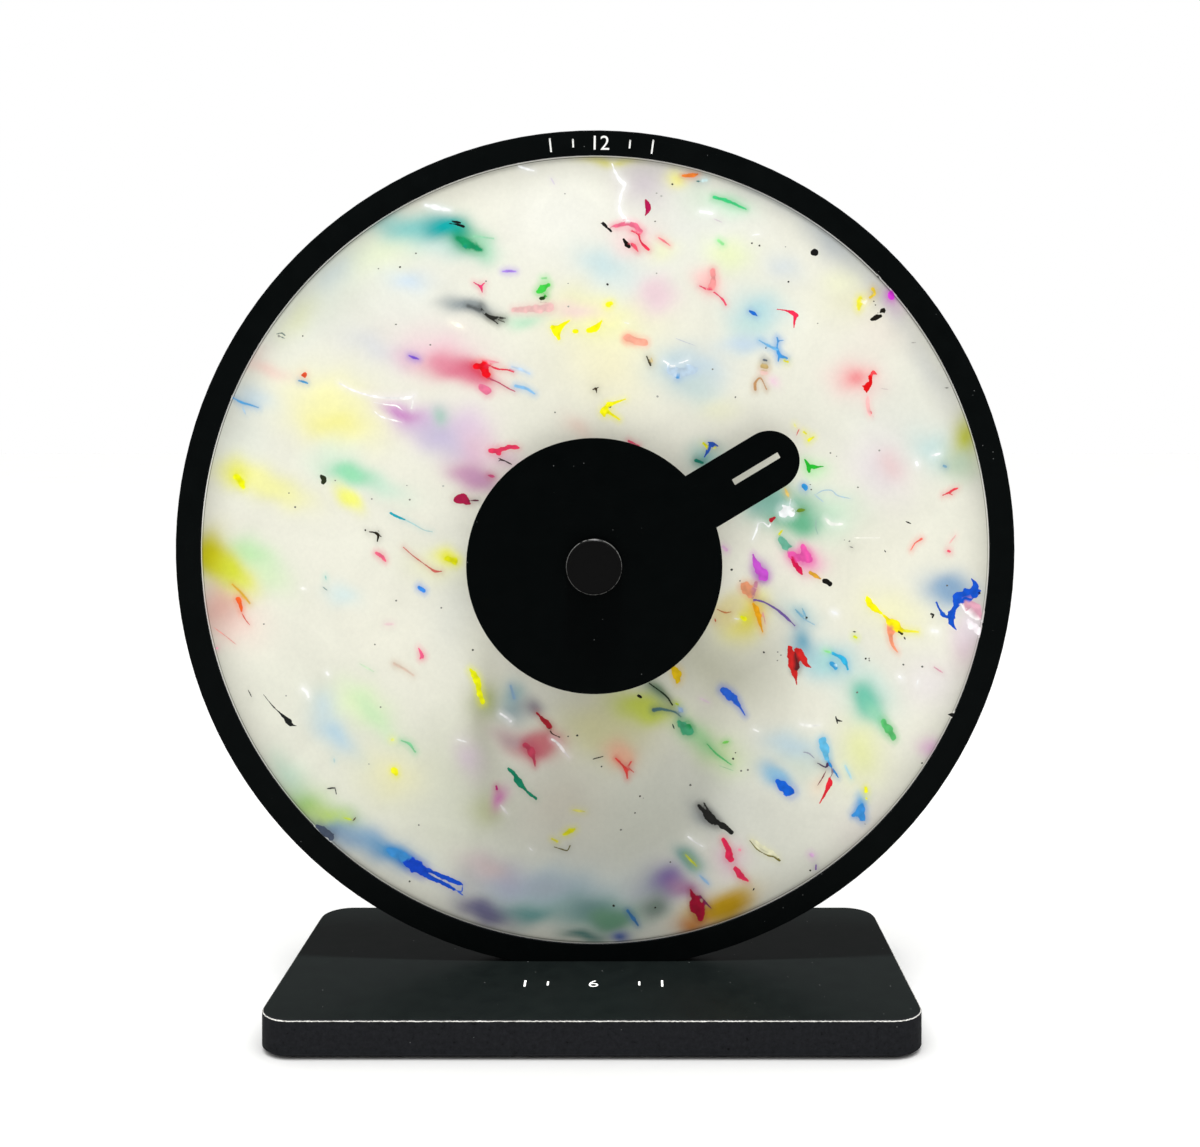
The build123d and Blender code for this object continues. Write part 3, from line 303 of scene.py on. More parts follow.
# Ring
# The black hoop that holds the dial: the same through-dyed fibreboard, turned to a 7.9 mm band,
# sunk in the slab and drawn down by two screws from below.
dress(board_finish("oiled_black_fibreboard_ring", "040606", "080B0B", "Y"), "ring_frame")
RING_MIDDLE_Z = 142.9 * MM
RING_FACE_Y = -3 * MM
TWELVE_HEIGHT = 4.5 * MM
TWELVE_TURN = -0.9
MARK_RADIUS = 130 * MM


def on_ring(piece, degrees):
    """Stands a flat mark up on the ring's face, at an angle from the top, clockwise negative."""
    for step in (Matrix.Rotation(math.pi / 2, 4, "X"), Matrix.Translation((0, 0, MARK_RADIUS)),
                 Matrix.Rotation(-math.radians(degrees), 4, "Y"),
                 Matrix.Translation((0, RING_FACE_Y - FILM, RING_MIDDLE_Z))):
        piece.data.transform(step)
    return piece


twelve = joined("ring_number_twelve", on_ring(figure("12", TWELVE_HEIGHT), TWELVE_TURN), *(
    on_ring(tick(0, TICK_WIDE * 0.9, TWELVE_HEIGHT * share), TWELVE_TURN + turn)
    for turn, share in ((-7.2, 1), (-4, 0.6), (4, 0.6), (7.2, 1))))
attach(twelve, "stand")

# Dial
# A disc of recycled bottle-cap polyethylene, pressed in a hot plate press: milky, a little
# see-through, with smeared clouds of colour and crisp shards of it, and a smooth satin face.
DIAL_RADIUS = 126 * MM
DIAL_FRONT, DIAL_BACK = -2.7 * MM, 1.3 * MM
DIAL_FACETS = 800
SPINDLE_Z = 138.6 * MM
BORE_RADIUS = 4.2 * MM
SMOOTH_STEP = 0.45
TAPER = 1.2


def smooth_run(run):
    """Points about a step apart on a smooth line through a fleck's own points.

    A long fleck that is as wide at its ends as in its middle is drawn out thinner at them.
    """
    ends = np.vstack([2 * run[0] - run[1], run, 2 * run[-1] - run[-2]])
    out = []
    for p0, p1, p2, p3 in zip(ends, ends[1:], ends[2:], ends[3:]):
        parts = max(1, int(np.hypot(*(p2 - p1)[:2]) / SMOOTH_STEP))
        for t in np.arange(parts) / parts:
            out.append(0.5 * (2 * p1 + (p2 - p0) * t + (2 * p0 - 5 * p1 + 4 * p2 - p3) * t * t
                              + (3 * p1 - p0 - 3 * p2 + p3) * t ** 3))
    out = np.array(out + [run[-1]])
    gone = np.append(0, np.cumsum(np.hypot(*np.diff(out[:, :2], axis=0).T)))
    widest = run[:, 2].max()
    if gone[-1] > 1.5 * widest and run[[0, -1], 2].min() > 0.75 * widest:
        from_end = np.minimum(gone, gone[-1] - gone) / min(TAPER, gone[-1] / 4)
        out[:, 2] *= np.clip(0.35 + 0.65 * from_end, 0, 1)
    return out


# In the next three tables, places and half sizes are in tenths of a millimetre, across and up from
# the dial's middle, widths, radii, strengths and softnesses in hundredths, and turns in degrees.
# Each soft cloud: colour, strength, place, half sizes, turn. The broad ones lie under the others.
# Some grey clouds are painted shade: the broad grey and grey-green ones below the hand's disc and tab
# stand in for the hand's shadow, and the long thin grey ones along the rim at the upper right for shade
# by the ring.
clouds_and_shade = [(row[0], int(row[1]) / 100, *(int(v) / 10 for v in row[2:6]), int(row[6]))
          for row in zip(*[iter("""
CAD1CE 45 -32 -1043 320 128 0 D8DBCE 35 -112 -801 224 160 0 D6DAC8 50 -688 -705 224 160 -40
DADBCE 55 655 -960 256 128 30 CECFBE 30 176 -864 224 141 0 DEE0D6 55 975 414 192 160 0
E4E2D0 50 847 -33 192 160 0 DEDFD0 50 -943 -481 192 160 0 CCCEC4 60 399 -801 192 141 -30
F0F0E8 55 -112 1054 192 141 0 E2E4DC 55 -624 798 192 128 0 E2E4DE 60 335 1022 192 128 0
EEECDC 55 -624 -289 192 115 -20 D6D8C8 45 -400 -928 160 128 0 D0D0BE 60 457 -417 160 128 0
DEE2DE 60 -943 798 224 83 48 CDD0BC 60 -464 -737 96 192 0 C8CBBE 35 176 -832 141 128 0
EEE9C4 70 54 613 134 128 0 D6D8CE 50 -448 -161 70 192 0 BAC8C4 25 -1135 350 96 141 0
CEC5B4 45 -112 -820 109 115 0 B4CED6 80 -125 -1101 179 58 -3 A8A892 42 -355 -532 48 211 0
CFCC9E 70 54 -574 121 83 0 DADED0 60 -848 798 128 77 40 BCBCA4 55 348 -359 115 83 -30
F3F0B2 90 -857 472 115 77 -15 ECCCD4 70 -493 632 128 64 -15 E2D6CC 40 911 702 96 83 0
E2ECC8 60 -688 951 134 58 25 D6D3A6 80 22 -570 109 70 0 F0F0AA 75 -4 747 115 64 -5
E1D7DE 60 911 254 77 96 0 E9E2DA 50 863 -896 96 70 40 F1EFC6 75 949 -199 102 58 -15
ECE9BA 70 -659 -721 83 70 0 EAE2E4 55 1064 -417 83 70 0 E4E8AC 80 850 -650 64 90 0
CDE5CD 80 738 120 90 64 -15 AEBAC4 85 -167 -1085 121 45 -5 E2E0C0 60 815 798 90 58 0
86ACA6 90 16 -1165 115 45 0 A3B8CA 90 -739 -928 121 42 -22 C8CECF 75 566 1143 141 35 -30
D0C8CB 90 163 1169 74 67 -30 F4F2C8 70 -784 382 96 51 -20 C4CACC 75 757 990 128 38 -42
BAD0C0 40 655 -673 77 64 0 82CDC8 60 -608 1035 115 42 -5 F0D6CA 75 -1148 -238 83 58 -20
C8E5DC 65 866 -455 83 58 -45 DCE7E4 55 108 868 90 51 0 EAE89E 80 -1071 213 109 42 -18
E4D0E4 75 -413 382 70 64 0 B2D6DB 90 508 753 74 58 0 B2CCD5 90 278 571 77 54 0
76AC8C 100 607 127 80 51 -8 CED1D0 65 917 811 115 35 -54 E2BACE 75 -381 299 58 70 0
D7BCD6 75 -573 414 90 45 -20 C6BCD8 75 -493 357 90 45 -38 E1EFC0 75 -764 -497 83 48 -20
F0EC96 80 -832 402 96 42 -10 D4D6DA 60 -697 645 102 38 -20 CDDFA8 75 396 -641 77 51 -30
C6DCD8 85 1093 322 77 51 -30 D4D5D0 60 1071 581 121 32 -64 CADEDE 85 35 919 77 48 -10
D6D6CD 60 1179 318 121 29 -76 C3E1DC 60 -457 967 90 38 -8 EAEBBE 60 -505 -52 77 45 -15
F0CBC7 85 831 542 67 51 -10 F1F0A8 90 -1065 203 102 32 -18 A0A5B2 75 182 -1075 64 51 0
E0E4BA 60 -956 750 83 38 55 8CACC6 90 -713 -941 83 38 -22 E7F0C0 75 431 948 70 45 -20
96929E 35 -400 -1056 70 45 0 E4C1B8 85 -1206 -174 54 58 0 769896 85 0 -1149 80 38 0
A3CE76 90 -927 -804 74 42 -38 E0B4A6 90 -1199 -174 51 58 0 CBD9DA 55 -828 881 77 38 40
CBA010 100 387 -1146 77 38 22 BED4DC 75 633 -628 77 38 -5 C6D6DC 80 348 593 70 42 -10
E28CA0 80 -470 590 83 35 -8 C8E4D0 65 -707 207 90 32 -16 D2E8D2 55 -835 293 64 45 0
D6ECC0 65 -1052 -84 64 45 -30 CDE9BC 85 -710 -526 90 32 -42 C2D4D2 75 319 513 64 45 0
E4E29E 65 470 -251 64 45 0 A8C6D4 80 738 -353 64 45 0 D2E2CE 45 335 1118 64 45 0
80BEA4 95 594 130 67 42 0 ACB4C8 85 -291 -1053 61 45 -20 AFDCD8 85 745 -353 61 45 0
C1E6B2 85 -1097 -17 70 38 -15 CED86C 90 128 -490 77 35 -18 D0BEBE 75 -349 -1012 70 38 -10
CDA510 100 406 -1139 77 35 22 C4DDC8 75 -988 -717 64 42 -52 F0CDCD 70 128 990 64 42 -20
BEC23E 100 1192 350 38 67 0 78718E 95 -336 -1155 80 32 -14 6C9C98 90 -199 -1162 86 29 -8
B8D3DF 95 -828 -586 77 32 -48 E5CED4 80 1195 -315 38 64 -20 C6D250 97 176 -516 77 32 -18
ECDEE4 90 1202 -257 45 54 -15 78C6C3 55 -585 1028 83 29 -5 CCC400 100 -1228 -1 42 58 6
7CA2C4 97 1125 -129 58 42 -20 B8DAD4 45 495 696 51 45 0 ECE674 85 489 -196 38 58 -15
C5CAA0 75 -342 -832 48 45 0 ECD6DA 80 191 808 48 45 0 B8CAB2 85 1167 267 48 45 0
E8CED4 85 191 808 48 45 0 8AA8C4 90 1122 -123 61 35 -15 CDC605 100 -1218 -17 42 51 8
A8D69E 90 335 -596 64 32 -38 7A6AA4 90 230 -1063 45 45 0 DEBECA 75 422 -983 45 45 0
D8C8D2 70 -403 -673 38 51 0 C0960E 100 444 -1136 51 38 25 E8CBD4 75 -288 299 61 32 -15
74BE9A 95 652 91 54 35 -10 DED08A 85 425 -193 45 42 0 9EAA54 55 -352 -481 42 45 0
E6E878 85 -1132 -110 48 38 -45 7E9EC0 85 -822 -884 48 38 -30 A2B2B4 85 -259 -506 48 38 -25
CDECD2 75 422 1108 64 29 -20 D6DDDD 75 610 897 48 38 0 E5E5C6 60 387 453 58 32 0
C0D3CE 80 652 -203 58 32 -20 96C3B9 90 361 299 48 38 20 E0D25A 85 492 -219 38 48 -15
706E8E 95 -352 -1159 64 29 -14 E296A5 85 -410 561 70 26 -10 BED97E 90 -844 -845 70 26 -14
C4D6E2 85 486 657 70 26 -5 F0E2D4 65 -61 763 70 26 0 CCDDDE 75 -867 -500 54 32 -62
64BCA2 97 866 -494 54 32 -52 E4CCCC 85 952 264 42 42 0 74847A 80 198 -1149 45 38 10
EC92BE 90 674 -30 48 35 0 70987C 85 54 -1175 58 29 5 CC707A 90 -186 -634 51 32 -18
DC7C92 90 -419 558 64 26 -8 CC586A 100 -199 -625 51 32 -10 CEC80A 100 -1193 -52 38 42 40
D6DC3C 90 -1164 -65 35 45 40 CDDCE6 80 -592 865 54 29 -5 A8CDC8 85 543 146 54 29 25
68967A 85 67 -1178 54 29 5 C4D6DE 70 -1100 478 48 32 -10 78ACC0 85 668 -289 32 48 0
EDEECE 65 789 859 48 32 0 00969C 97 -493 1028 48 32 -8 84B8A6 95 546 146 48 32 25
CDA4BA 85 -416 229 51 29 -15 6CC3AA 95 860 -487 51 29 -52 8ED0B0 97 -784 238 58 26 -14
68B28A 100 652 91 51 29 -10 E6E676 80 -1142 245 38 38 0 B08CAA 45 943 798 38 38 0
189E68 97 -410 983 45 32 -28 BEA3A5 75 -259 -602 54 26 -25 D4E6E4 70 -816 -148 48 29 -20
C9D558 90 166 -522 48 29 -25 AA80A0 90 284 -1085 48 29 -10 989C9C 75 355 -848 48 29 -40
76CCA8 85 -371 964 48 29 -28 ECEECC 80 223 948 42 32 0 E2D7A3 85 434 -180 42 32 0
0A9E80 95 -441 1006 42 32 -30 CDA0B6 90 -365 223 42 32 0 96DCAF 90 -780 235 51 26 -14
3C87BE 97 -633 -973 51 26 -20 F8C8C3 90 361 865 35 35 0 CF8A4C 90 319 -1200 48 26 15
E9D7C7 85 -55 386 48 26 -30 AAAFAF 80 -422 772 64 19 -8 EDD0C4 75 -1043 571 64 19 -12
E4C4A4 75 92 -641 38 32 -30 8C9698 95 -410 776 64 19 -6 F0B496 70 80 -647 38 32 -30
C687C0 90 -627 443 54 22 -18 DEB9CD 60 -585 625 42 29 0 D0767C 95 -144 -615 42 29 0
EAD0C6 60 -1097 616 45 26 20 70B0D6 95 572 -730 45 26 -35 96B6B6 70 -266 -449 29 38 0
C8ECBE 80 703 264 38 29 0 F0D6CE 70 -80 756 58 19 0 EC9192 85 837 545 38 29 -10
00A8A8 80 -486 1031 48 22 -8 96D5B4 90 901 -538 48 22 -46 BEE4C3 60 -365 967 42 26 -25
C494B4 85 -384 226 42 26 0 548078 95 -32 -1235 64 16 0 4A98C6 90 -633 -967 51 19 -18
E2DD82 95 57 1246 77 13 0 BEE1C4 90 -234 734 51 19 0 78A5A0 90 303 -992 38 26 -40
D65F78 85 -381 568 42 22 -20 7A9678 80 188 -458 48 19 -40 E4BCD6 85 1074 -625 29 29 0
843CA0 55 527 -78 29 29 0 F2E1C8 65 709 -749 26 32 0 E1CBD7 70 952 792 32 26 -50
EEEC64 85 -467 -27 35 22 -15 EEEE4C 100 -796 155 38 19 -45 6E9C9A 90 291 -992 32 22 -40
ACC8BE 90 -499 424 29 22 -50 F1F37D 95 -793 159 38 16 -45 969096 80 -199 -500 32 19 -30
D682B9 80 -307 -788 19 32 -20 96C3DC 85 569 -730 32 19 -35 F5F096 85 265 1178 26 22 0
6EAFDA 80 850 -813 19 26 0 5468A6 90 86 -1232 26 16 0 F0D2DD 85 572 529 19 16 -40
""".split())] * 7)]
# Each fleck has a line: colour, softness of its edge, then place and width at each of its points.
flecks = []
for row in """
FAFDFD 110 -542 1101 38 -504 1093 115 -465 1085 38
148470 30 -435 986 40 -413 961 31
96D4AC 60 -386 1002 54 -325 994 31
7850CD 40 -594 620 36 -578 613 107 -564 609 36
3C8EC0 30 -947 540 36 -933 537 67 -919 532 36
4698D0 50 -1156 485 40 -1131 471 72 -1104 463 58 -1076 454 27
98C0DE 50 -1126 454 31 -1117 433 27
FCF8F6 25 -707 471 29 -663 463 35 -636 460 35 -616 446 29
FCF8F6 25 -704 441 32 -680 424 42 -619 407 38
FCF7E8 40 -463 727 54 -441 719 116 -422 710 54
A580E4 50 -295 889 31 -276 890 107 -254 889 31
E23A70 20 -388 854 27 -366 840 85 -361 823 40
E23A70 20 -366 840 63 -352 854 31
96E296 50 -170 867 54 -157 868 98
D6CCDE 40 -141 1187 40 -130 1168 36
FCFDFC 50 -243 1225 48 -221 1217 80 -196 1211 29
262622 30 -364 782 54 -353 757 103 -331 741 125 -309 741 72 -287 740 27
262622 30 -339 744 90 -311 722 36
46463E 30 -309 735 54 -289 727 27
606464 90 -406 779 98 -368 766 143
0C0A0C 12 39 848 67 40 847 67
E63050 20 115 1019 36 137 1008 49 145 986 85 160 969 103 171 959 76
E45066 30 115 977 81 126 969 107 137 953 27
F17884 40 203 997 27 220 986 76 239 972 22
E0782E 30 280 1195 58 302 1195 148 327 1200 85
467070 20 324 1178 58 335 1176 67
C0D9D9 50 345 1180 98 355 1182 90
FCFEFC 60 337 1080 64 355 1078 102 374 1074 51
3C3828 20 165 617 40 177 589 63
D8C48C 30 179 613 72 183 600 72
FCFCF4 40 94 726 42 108 723 38
C0C6CE 20 258 675 27 319 652 22
3A8CCC 25 262 550 90 264 550 90
E4324C 20 -342 589 90 -309 577 63 -281 575 63 -259 567 27
BC4A66 20 -342 548 76 -309 534 45 -276 515 40 -256 506 31
EE96A2 50 -364 606 72 -309 598 63
C0D8EE 60 -265 584 72 -237 575 94 -210 562 58
84BAE4 40 -254 523 98 -221 515 94 -193 498 45
3C301C 15 -6 512 45 2 515 72 5 501 27
3C301C 15 2 515 45 11 519 27
F6F10C 25 41 440 134 77 416 49
FDFCE1 30 51 465 45 68 472 58
3AC478 40 380 1126 90 413 1118 107 441 1107 116 482 1088 36
CEC2CA 30 380 1057 31 405 1046 31
94E294 50 394 988 72 408 977 103
FCFDFA 40 502 1005 38 526 1008 42
0E0E0E 10 617 856 67 618 856 67
E94868 20 334 843 40 353 834 76 375 826 63 394 812 49 408 799 67 418 782 58
0A0A0A 10 901 876 45 909 867 45
CDC286 30 894 827 49 876 804 49
F8F3E2 50 860 790 134 866 795 90
4296DA 25 582 677 72 584 667 58 582 645 67 590 622 121 612 611 107
4296DA 25 584 667 45 601 669 27
6EB0DE 35 524 669 31 557 650 90 584 639 76
4296DA 25 588 619 72 585 603 45
E8E312 20 604 604 72 615 600 90
5A6470 35 539 607 90 548 604 90
C0A66C 40 534 585 152 548 583 152
E8C4BA 50 535 568 152 545 566 143
BA8C5E 30 512 512 90 512 534 76 529 548 40 548 512 31
EC686C 15 878 453 31 888 425 40
CEC0BA 30 914 515 31 936 512 27
96948E 15 1011 661 31 1025 662 27
60605A 15 1118 517 45 1129 517 40
A6CECE 25 -611 97 45 -581 82 36 -547 63 36 -520 57 22
1E190C 15 -735 63 49 -734 62 45
1E190C 15 -721 57 31 -704 54 76 -693 46 85 -696 27 49
1E190C 15 -693 60 31 -685 41 49
C45E54 20 -613 8 22 -581 -20 36 -536 -53 40 -512 -69 76 -490 -69 31
60283C 25 -406 155 63 -386 157 67 -374 157 45
D8A530 50 -1159 -111 45 -1131 -138 76 -1104 -171 49
DE6250 20 -1131 -199 40 -1117 -224 45 -1104 -240 36
E2968C 20 -1219 -248 31 -1181 -276 31 -1147 -303 27
E694AA 30 -1209 -315 54 -1207 -315 54
94D7CD 50 -862 -84 63 -860 -94 67
809B96 20 -870 -119 45 -856 -130 45
FCFBF4 90 -940 -123 64 -924 -126 51
ECCCCE 70 -671 -238 72 -646 -238 72
F15E88 20 -564 -315 31 -556 -331 94 -550 -342 130
F15E88 20 -553 -337 90 -559 -348 49
DAC0AC 60 -641 -365 81 -613 -379 76 -581 -401 40
AC8E6E 40 -644 -362 45 -630 -372 40
302C28 15 -1109 -448 40 -1098 -470 36
FDFDFA 80 -858 -393 70 -853 -400 58
FDFDFA 60 -934 -444 83 -922 -455 96 -916 -470 51
CBE2C0 50 -751 -365 40 -707 -390 45
80CE96 35 -619 -610 40 -594 -621 94 -575 -646 63
ECF182 50 -649 -607 90 -647 -607 90
30302C 15 -857 -764 40 -842 -762 45 -831 -760 45
464642 15 -831 -761 36 -827 -781 27
B0D2D4 50 -834 -668 54 -833 -679 54
CBE33A 50 -803 -857 63 -779 -863 81
584430 20 -773 -866 63 -765 -856 58
3C64CC 15 -424 -1071 45 -426 -1092 45 -443 -1089 36
3C64CC 15 -441 -1090 40 -421 -1105 49
8AAAC6 60 -270 -435 54 -259 -474 94
FAFAFA 40 -303 -524 48 -285 -535 70 -271 -547 96
F8F8F6 50 -441 -606 38 -413 -614 42
3E2014 15 -149 -565 49 -138 -587 45 -116 -598 36
FAF2F0 30 -138 -606 54 -121 -617 83 -99 -645 74 -83 -664 29
3C3628 15 -6 -669 31 13 -664 40 25 -661 27
100F0A 10 139 -467 90 147 -471 98
E4443E 30 66 -667 40 88 -689 90 99 -705 103 103 -730 40
E4443E 30 115 -678 49 104 -694 67
D65A54 30 108 -698 49 123 -711 31
C0267A 30 -316 -756 72 -314 -765 81
F4F0EC 50 -301 -818 72 -281 -843 85
E3DE6E 50 -72 -832 67 -33 -837 72
E0DD1C 45 -99 -909 90 -83 -901 170 -66 -893 76
DED83C 50 -138 -924 54 -122 -932 72
6E693C 20 -130 -950 36 -111 -956 40 -89 -961 49 -80 -945 27
F4F4F0 40 -211 -952 42 -200 -962 42
1E2E1E 25 173 -427 36 225 -466 54 247 -496 76
4E7274 40 187 -512 152 214 -510 98 253 -518 58 275 -535 40
C0D924 25 259 -492 81 265 -495 81
94AFD0 50 268 -505 116 280 -518 116
28483E 15 247 -557 40 253 -573 36
3A6EA2 40 104 -1154 81 126 -1184 107 137 -1201 58
CBD024 50 289 -975 58 324 -1011 76
94B8DA 60 335 -1041 81 363 -1069 90
6E2850 30 335 -1107 54 355 -1130 63 371 -1146 27
FCFCFA 35 297 -917 96 319 -934 48 344 -948 74
0C0C0C 12 538 -327 81 540 -329 81
96E896 40 732 -323 72 754 -329 90
BEE1EB 20 769 -368 67 771 -372 63
CE8EA2 30 1083 -375 40 1110 -393 36
FDFDFC 35 973 -407 83 978 -411 83
FDFDFC 40 1032 -417 45 1028 -433 48
E2CDD8 60 336 -475 63 364 -489 58
0A0A0A 10 769 -533 27 772 -544 72 788 -548 45
0A0A0A 10 772 -544 58 774 -555 27
1C82C6 25 744 -676 90 760 -701 58 777 -728 72
483252 20 711 -682 27 736 -695 67 744 -684 90
7A323C 20 738 -706 40 727 -728 36 711 -753 31
785064 20 755 -698 36 757 -717 31 748 -733 31
969BA8 20 667 -647 36 683 -651 40 700 -666 27
AAD7E4 50 799 -690 72 818 -731 67
EEEC1A 30 864 -761 90 866 -772 107
EEEC3C 30 866 -794 63 867 -796 58
142852 15 855 -861 54 860 -854 54
969698 15 858 -874 36 866 -879 36
EC8CA2 40 461 -959 67 463 -960 67
1EA052 40 297 -551 72 307 -567 107
58BE6E 25 358 -621 40 386 -651 67 419 -676 49 435 -687 27
AACEA4 25 397 -690 31 441 -706 31
76CE58 35 408 -618 85 427 -613 81
FDFDF8 40 506 -574 54 521 -581 38
F5F5EE 70 656 -558 64 689 -563 96 716 -561 38
D8AAD4 60 690 -975 116 693 -978 116
7A5A9A 20 706 -1008 45 705 -1021 72
0E0E0E 10 505 -1088 63 508 -1083 63
F7F496 50 636 402 72 642 392 63
E86C64 15 643 365 40 652 385 45
F6F23C 30 668 376 81 674 371 81
F2F124 30 682 349 98 698 360 58
ACC8D6 20 707 178 36 729 189 36 756 189 40 775 173 40 816 163 31
ACC8D6 20 701 176 31 729 153 31
E3C46C 40 607 195 72 618 170 90
EEF6F4 30 621 138 48 625 162 26
F8FAF8 24 522 85 29 537 87 26 555 74 64 560 85 32
F8FAF8 24 521 83 32 514 57 58 503 32 26
D2E8DE 20 604 21 31 617 5 36
F0F3EA 40 737 98 85 756 82 112 789 82 63
9EBEB0 25 707 98 40 705 72 40 712 49 36
C48298 40 514 -105 134 508 -144 90
6E549A 20 508 -160 67 541 -168 58 580 -191 67 607 -213 85 638 -243 40
E8A0A2 25 536 -199 40 544 -238 40
EDED10 40 468 -216 125 478 -221 125
FAFAF4 35 446 -220 51 458 -222 58
0C0C0C 12 463 -100 49 466 -105 49
76AAC2 25 640 -191 63 668 -221 72
76AAC2 25 662 -188 45 674 -215 49
96B9C8 25 668 -222 45 701 -240 31
FCFDFC 80 757 -198 109 773 -205 115
0C0C0C 10 824 -262 49 833 -263 54
D9E81C 25 828 -277 85 835 -281 76
FCFDFD 50 1077 301 77 1103 307 70
FCFDFD 50 1027 279 77 1030 270 77
76A0B8 40 1114 268 81 1121 265 72
E63A4A 20 1111 174 49 1128 181 67 1147 192 90 1158 196 40
E63A4A 20 1131 182 45 1141 175 31
14120F 10 993 90 49 1009 83 49
F26C5E 25 1009 -1 22 1023 21 45 1043 34 72
F2B2AE 40 1133 21 45 1152 46 45
EE4E6A 25 1128 -4 76 1133 -6 72
141412 10 924 -1 45 929 -9 45
828078 20 814 10 49 824 6 49
FAF9EE 40 828 38 29 910 38 29
FCFCF8 70 1078 -258 109 1093 -262 102
32191E 15 -309 283 58 -294 285 40 -267 273 54
32191E 15 -309 292 40 -285 283 45
C44E78 30 -342 238 81 -323 233 94
E34E6E 30 107 347 76 140 332 49
DFDE64 20 380 325 63 388 327 49
E3B4D8 50 409 10 63 420 -1 98
C07844 20 391 -191 45 415 -201 49 434 -199 27
C05A3A 20 383 -221 54 385 -230 58
0E0E10 10 -457 1050 38 -441 1047 64 -429 1045 38
0E0E10 10 -465 1042 32 -441 1039 70 -421 1033 96
189662 80 -438 996 192 -413 980 288 -387 967 288 -365 958 128
E45430 15 -932 558 192 -928 558 192
6E7D76 10 -1017 689 29 -1001 692 48 -991 684 26
6E7D76 10 -1007 681 38 -991 675 29
F4F1EE 24 -817 532 32 -768 507 58 -707 490 70 -658 485 83 -602 485 96 -578 493 38
F4F1EE 24 -580 491 51 -586 452 70
42CE48 25 -151 845 160 -167 833 272 -183 825 128
1A3C12 12 -173 803 109 -162 805 115
3CBE3C 25 -160 812 96 -155 809 51
E4B8B4 50 -259 767 160 -199 769 256 -147 774 288
F6F108 15 -133 711 224 -121 699 288 -115 675 128
F6F108 15 -119 708 224 -99 721 147 -82 732 45
F6F108 15 -64 698 160 -58 699 160
F6F108 15 -22 700 141 -5 705 217 8 716 179 21 731 51
F6F21E 35 41 782 173 51 787 141
181416 10 25 1043 96 37 1032 115
181416 10 43 1026 102 51 1017 64
120A06 10 92 990 115 101 978 217 108 969 141
EC6E8C 40 54 1033 32 70 1035 128 99 1041 192 124 1035 205 147 1019 147
B0124E 10 162 1116 96 167 1102 205 167 1086 192 161 1069 45
FBFBF9 24 54 1233 38 70 1194 109 93 1167 134 83 1134 64 78 1095 77 90 1063 121 115 1044 83
F2A68E 35 105 675 288 160 662 205
EE8468 40 103 673 160 124 668 96
B8CDDE 45 243 571 288 278 568 416 316 575 288
FAFCFC 24 220 603 45 247 586 61 268 595 42 297 606 22
FAFCFC 24 247 586 51 252 555 32
E80A1C 25 -379 588 224 -360 584 352 -349 566 288 -343 552 128
DE7090 40 -363 520 211 -344 506 269
F6F10C 18 40 460 192 27 443 237 30 426 205
F6F10C 18 44 464 153 70 472 90 97 481 38
0C0C0C 8 700 950 224 704 953 224
EE9694 35 376 891 160 378 862 224 371 841 224
D636D6 30 946 819 205 947 805 198
F0E83C 45 848 802 192 845 785 224 842 768 96
E4C43C 20 888 832 153 894 820 96 879 806 109
141008 8 883 735 102 899 742 166 913 746 96
141008 8 911 758 109 922 768 121 924 757 102
E82A4E 10 582 768 48 610 764 67 633 756 128 647 749 102
E82A4E 10 641 749 128 637 731 90 635 710 35
1868CA 18 494 762 96 508 754 121 518 747 35
E20810 10 879 554 115 881 536 153 871 520 269 868 504 90
E20810 10 855 523 45 866 519 128
EC464C 15 880 554 102 888 567 109 900 560 83
F5BAB8 20 871 489 134 871 462 128 880 430 173
ECEE0A 60 -1147 235 192 -1134 218 269 -1124 201 128
28301A 10 -872 233 205 -867 220 211
18A6B8 12 -654 117 77 -630 105 99 -608 96 61
E86280 25 -699 -11 83 -683 -20 147 -670 -36 51
E4E40A 50 -472 -28 224 -446 -39 237
3888E2 30 -562 -120 134 -546 -132 109
A61844 15 -445 160 192 -429 164 307 -413 157 262 -400 148 96
F26228 22 -1142 -159 160 -1134 -174 173 -1130 -196 77
161916 8 -1059 -464 19 -1027 -503 42 -1001 -527 83 -985 -543 179 -977 -554 230
161916 8 -980 -558 128 -955 -563 29
F0EE1E 30 -642 -706 211 -636 -717 160
424C5E 22 -887 -884 128 -867 -898 256 -846 -914 288
3C8CCE 60 -656 -960 224 -624 -976 320 -598 -992 288
0C44C4 30 -611 -988 192 -585 -1005 384 -560 -1021 428 -541 -1031 256
104CC8 15 -547 -1020 160 -493 -1042 147 -424 -1070 128
104CC8 15 -542 -1038 192 -493 -1062 147 -451 -1085 96
F0F20A 25 -398 -385 128 -383 -404 217 -374 -430 198 -368 -462 179 -360 -488 160
C6425C 30 -224 -625 192 -205 -644 237 -195 -673 102 -192 -692 32
AE1C2C 20 -186 -523 83 -165 -543 166 -145 -564 179
128A66 14 -277 -700 90 -259 -717 153 -248 -736 249 -231 -759 153 -209 -780 96 -189 -795 109
084C36 12 -241 -747 96 -237 -753 96
E4BE0C 22 249 -379 128 262 -393 301 265 -412 237 262 -425 83
46A678 40 270 -550 160 291 -574 364 305 -581 192
960E2C 40 305 -1087 45 314 -1111 224 324 -1136 396 331 -1159 384 335 -1178 192
CE2220 10 618 -309 51 624 -320 224 628 -343 332 633 -372 301 639 -399 179 644 -430 38
CE2220 10 644 -320 224 660 -342 301 672 -363 192 690 -377 38
581C20 30 639 -329 64 640 -340 192 644 -359 269 639 -388 160
2EACD8 20 759 -332 96 783 -343 134 799 -359 153 807 -382 77
3498CC 20 756 -364 160 768 -377 134
2662D4 25 407 -447 224 430 -464 307 452 -486 198 465 -506 96 479 -529 35
58BC6C 40 922 -549 160 940 -579 301 954 -601 192
0E0C0A 8 1128 -527 45 1138 -527 109 1147 -528 160
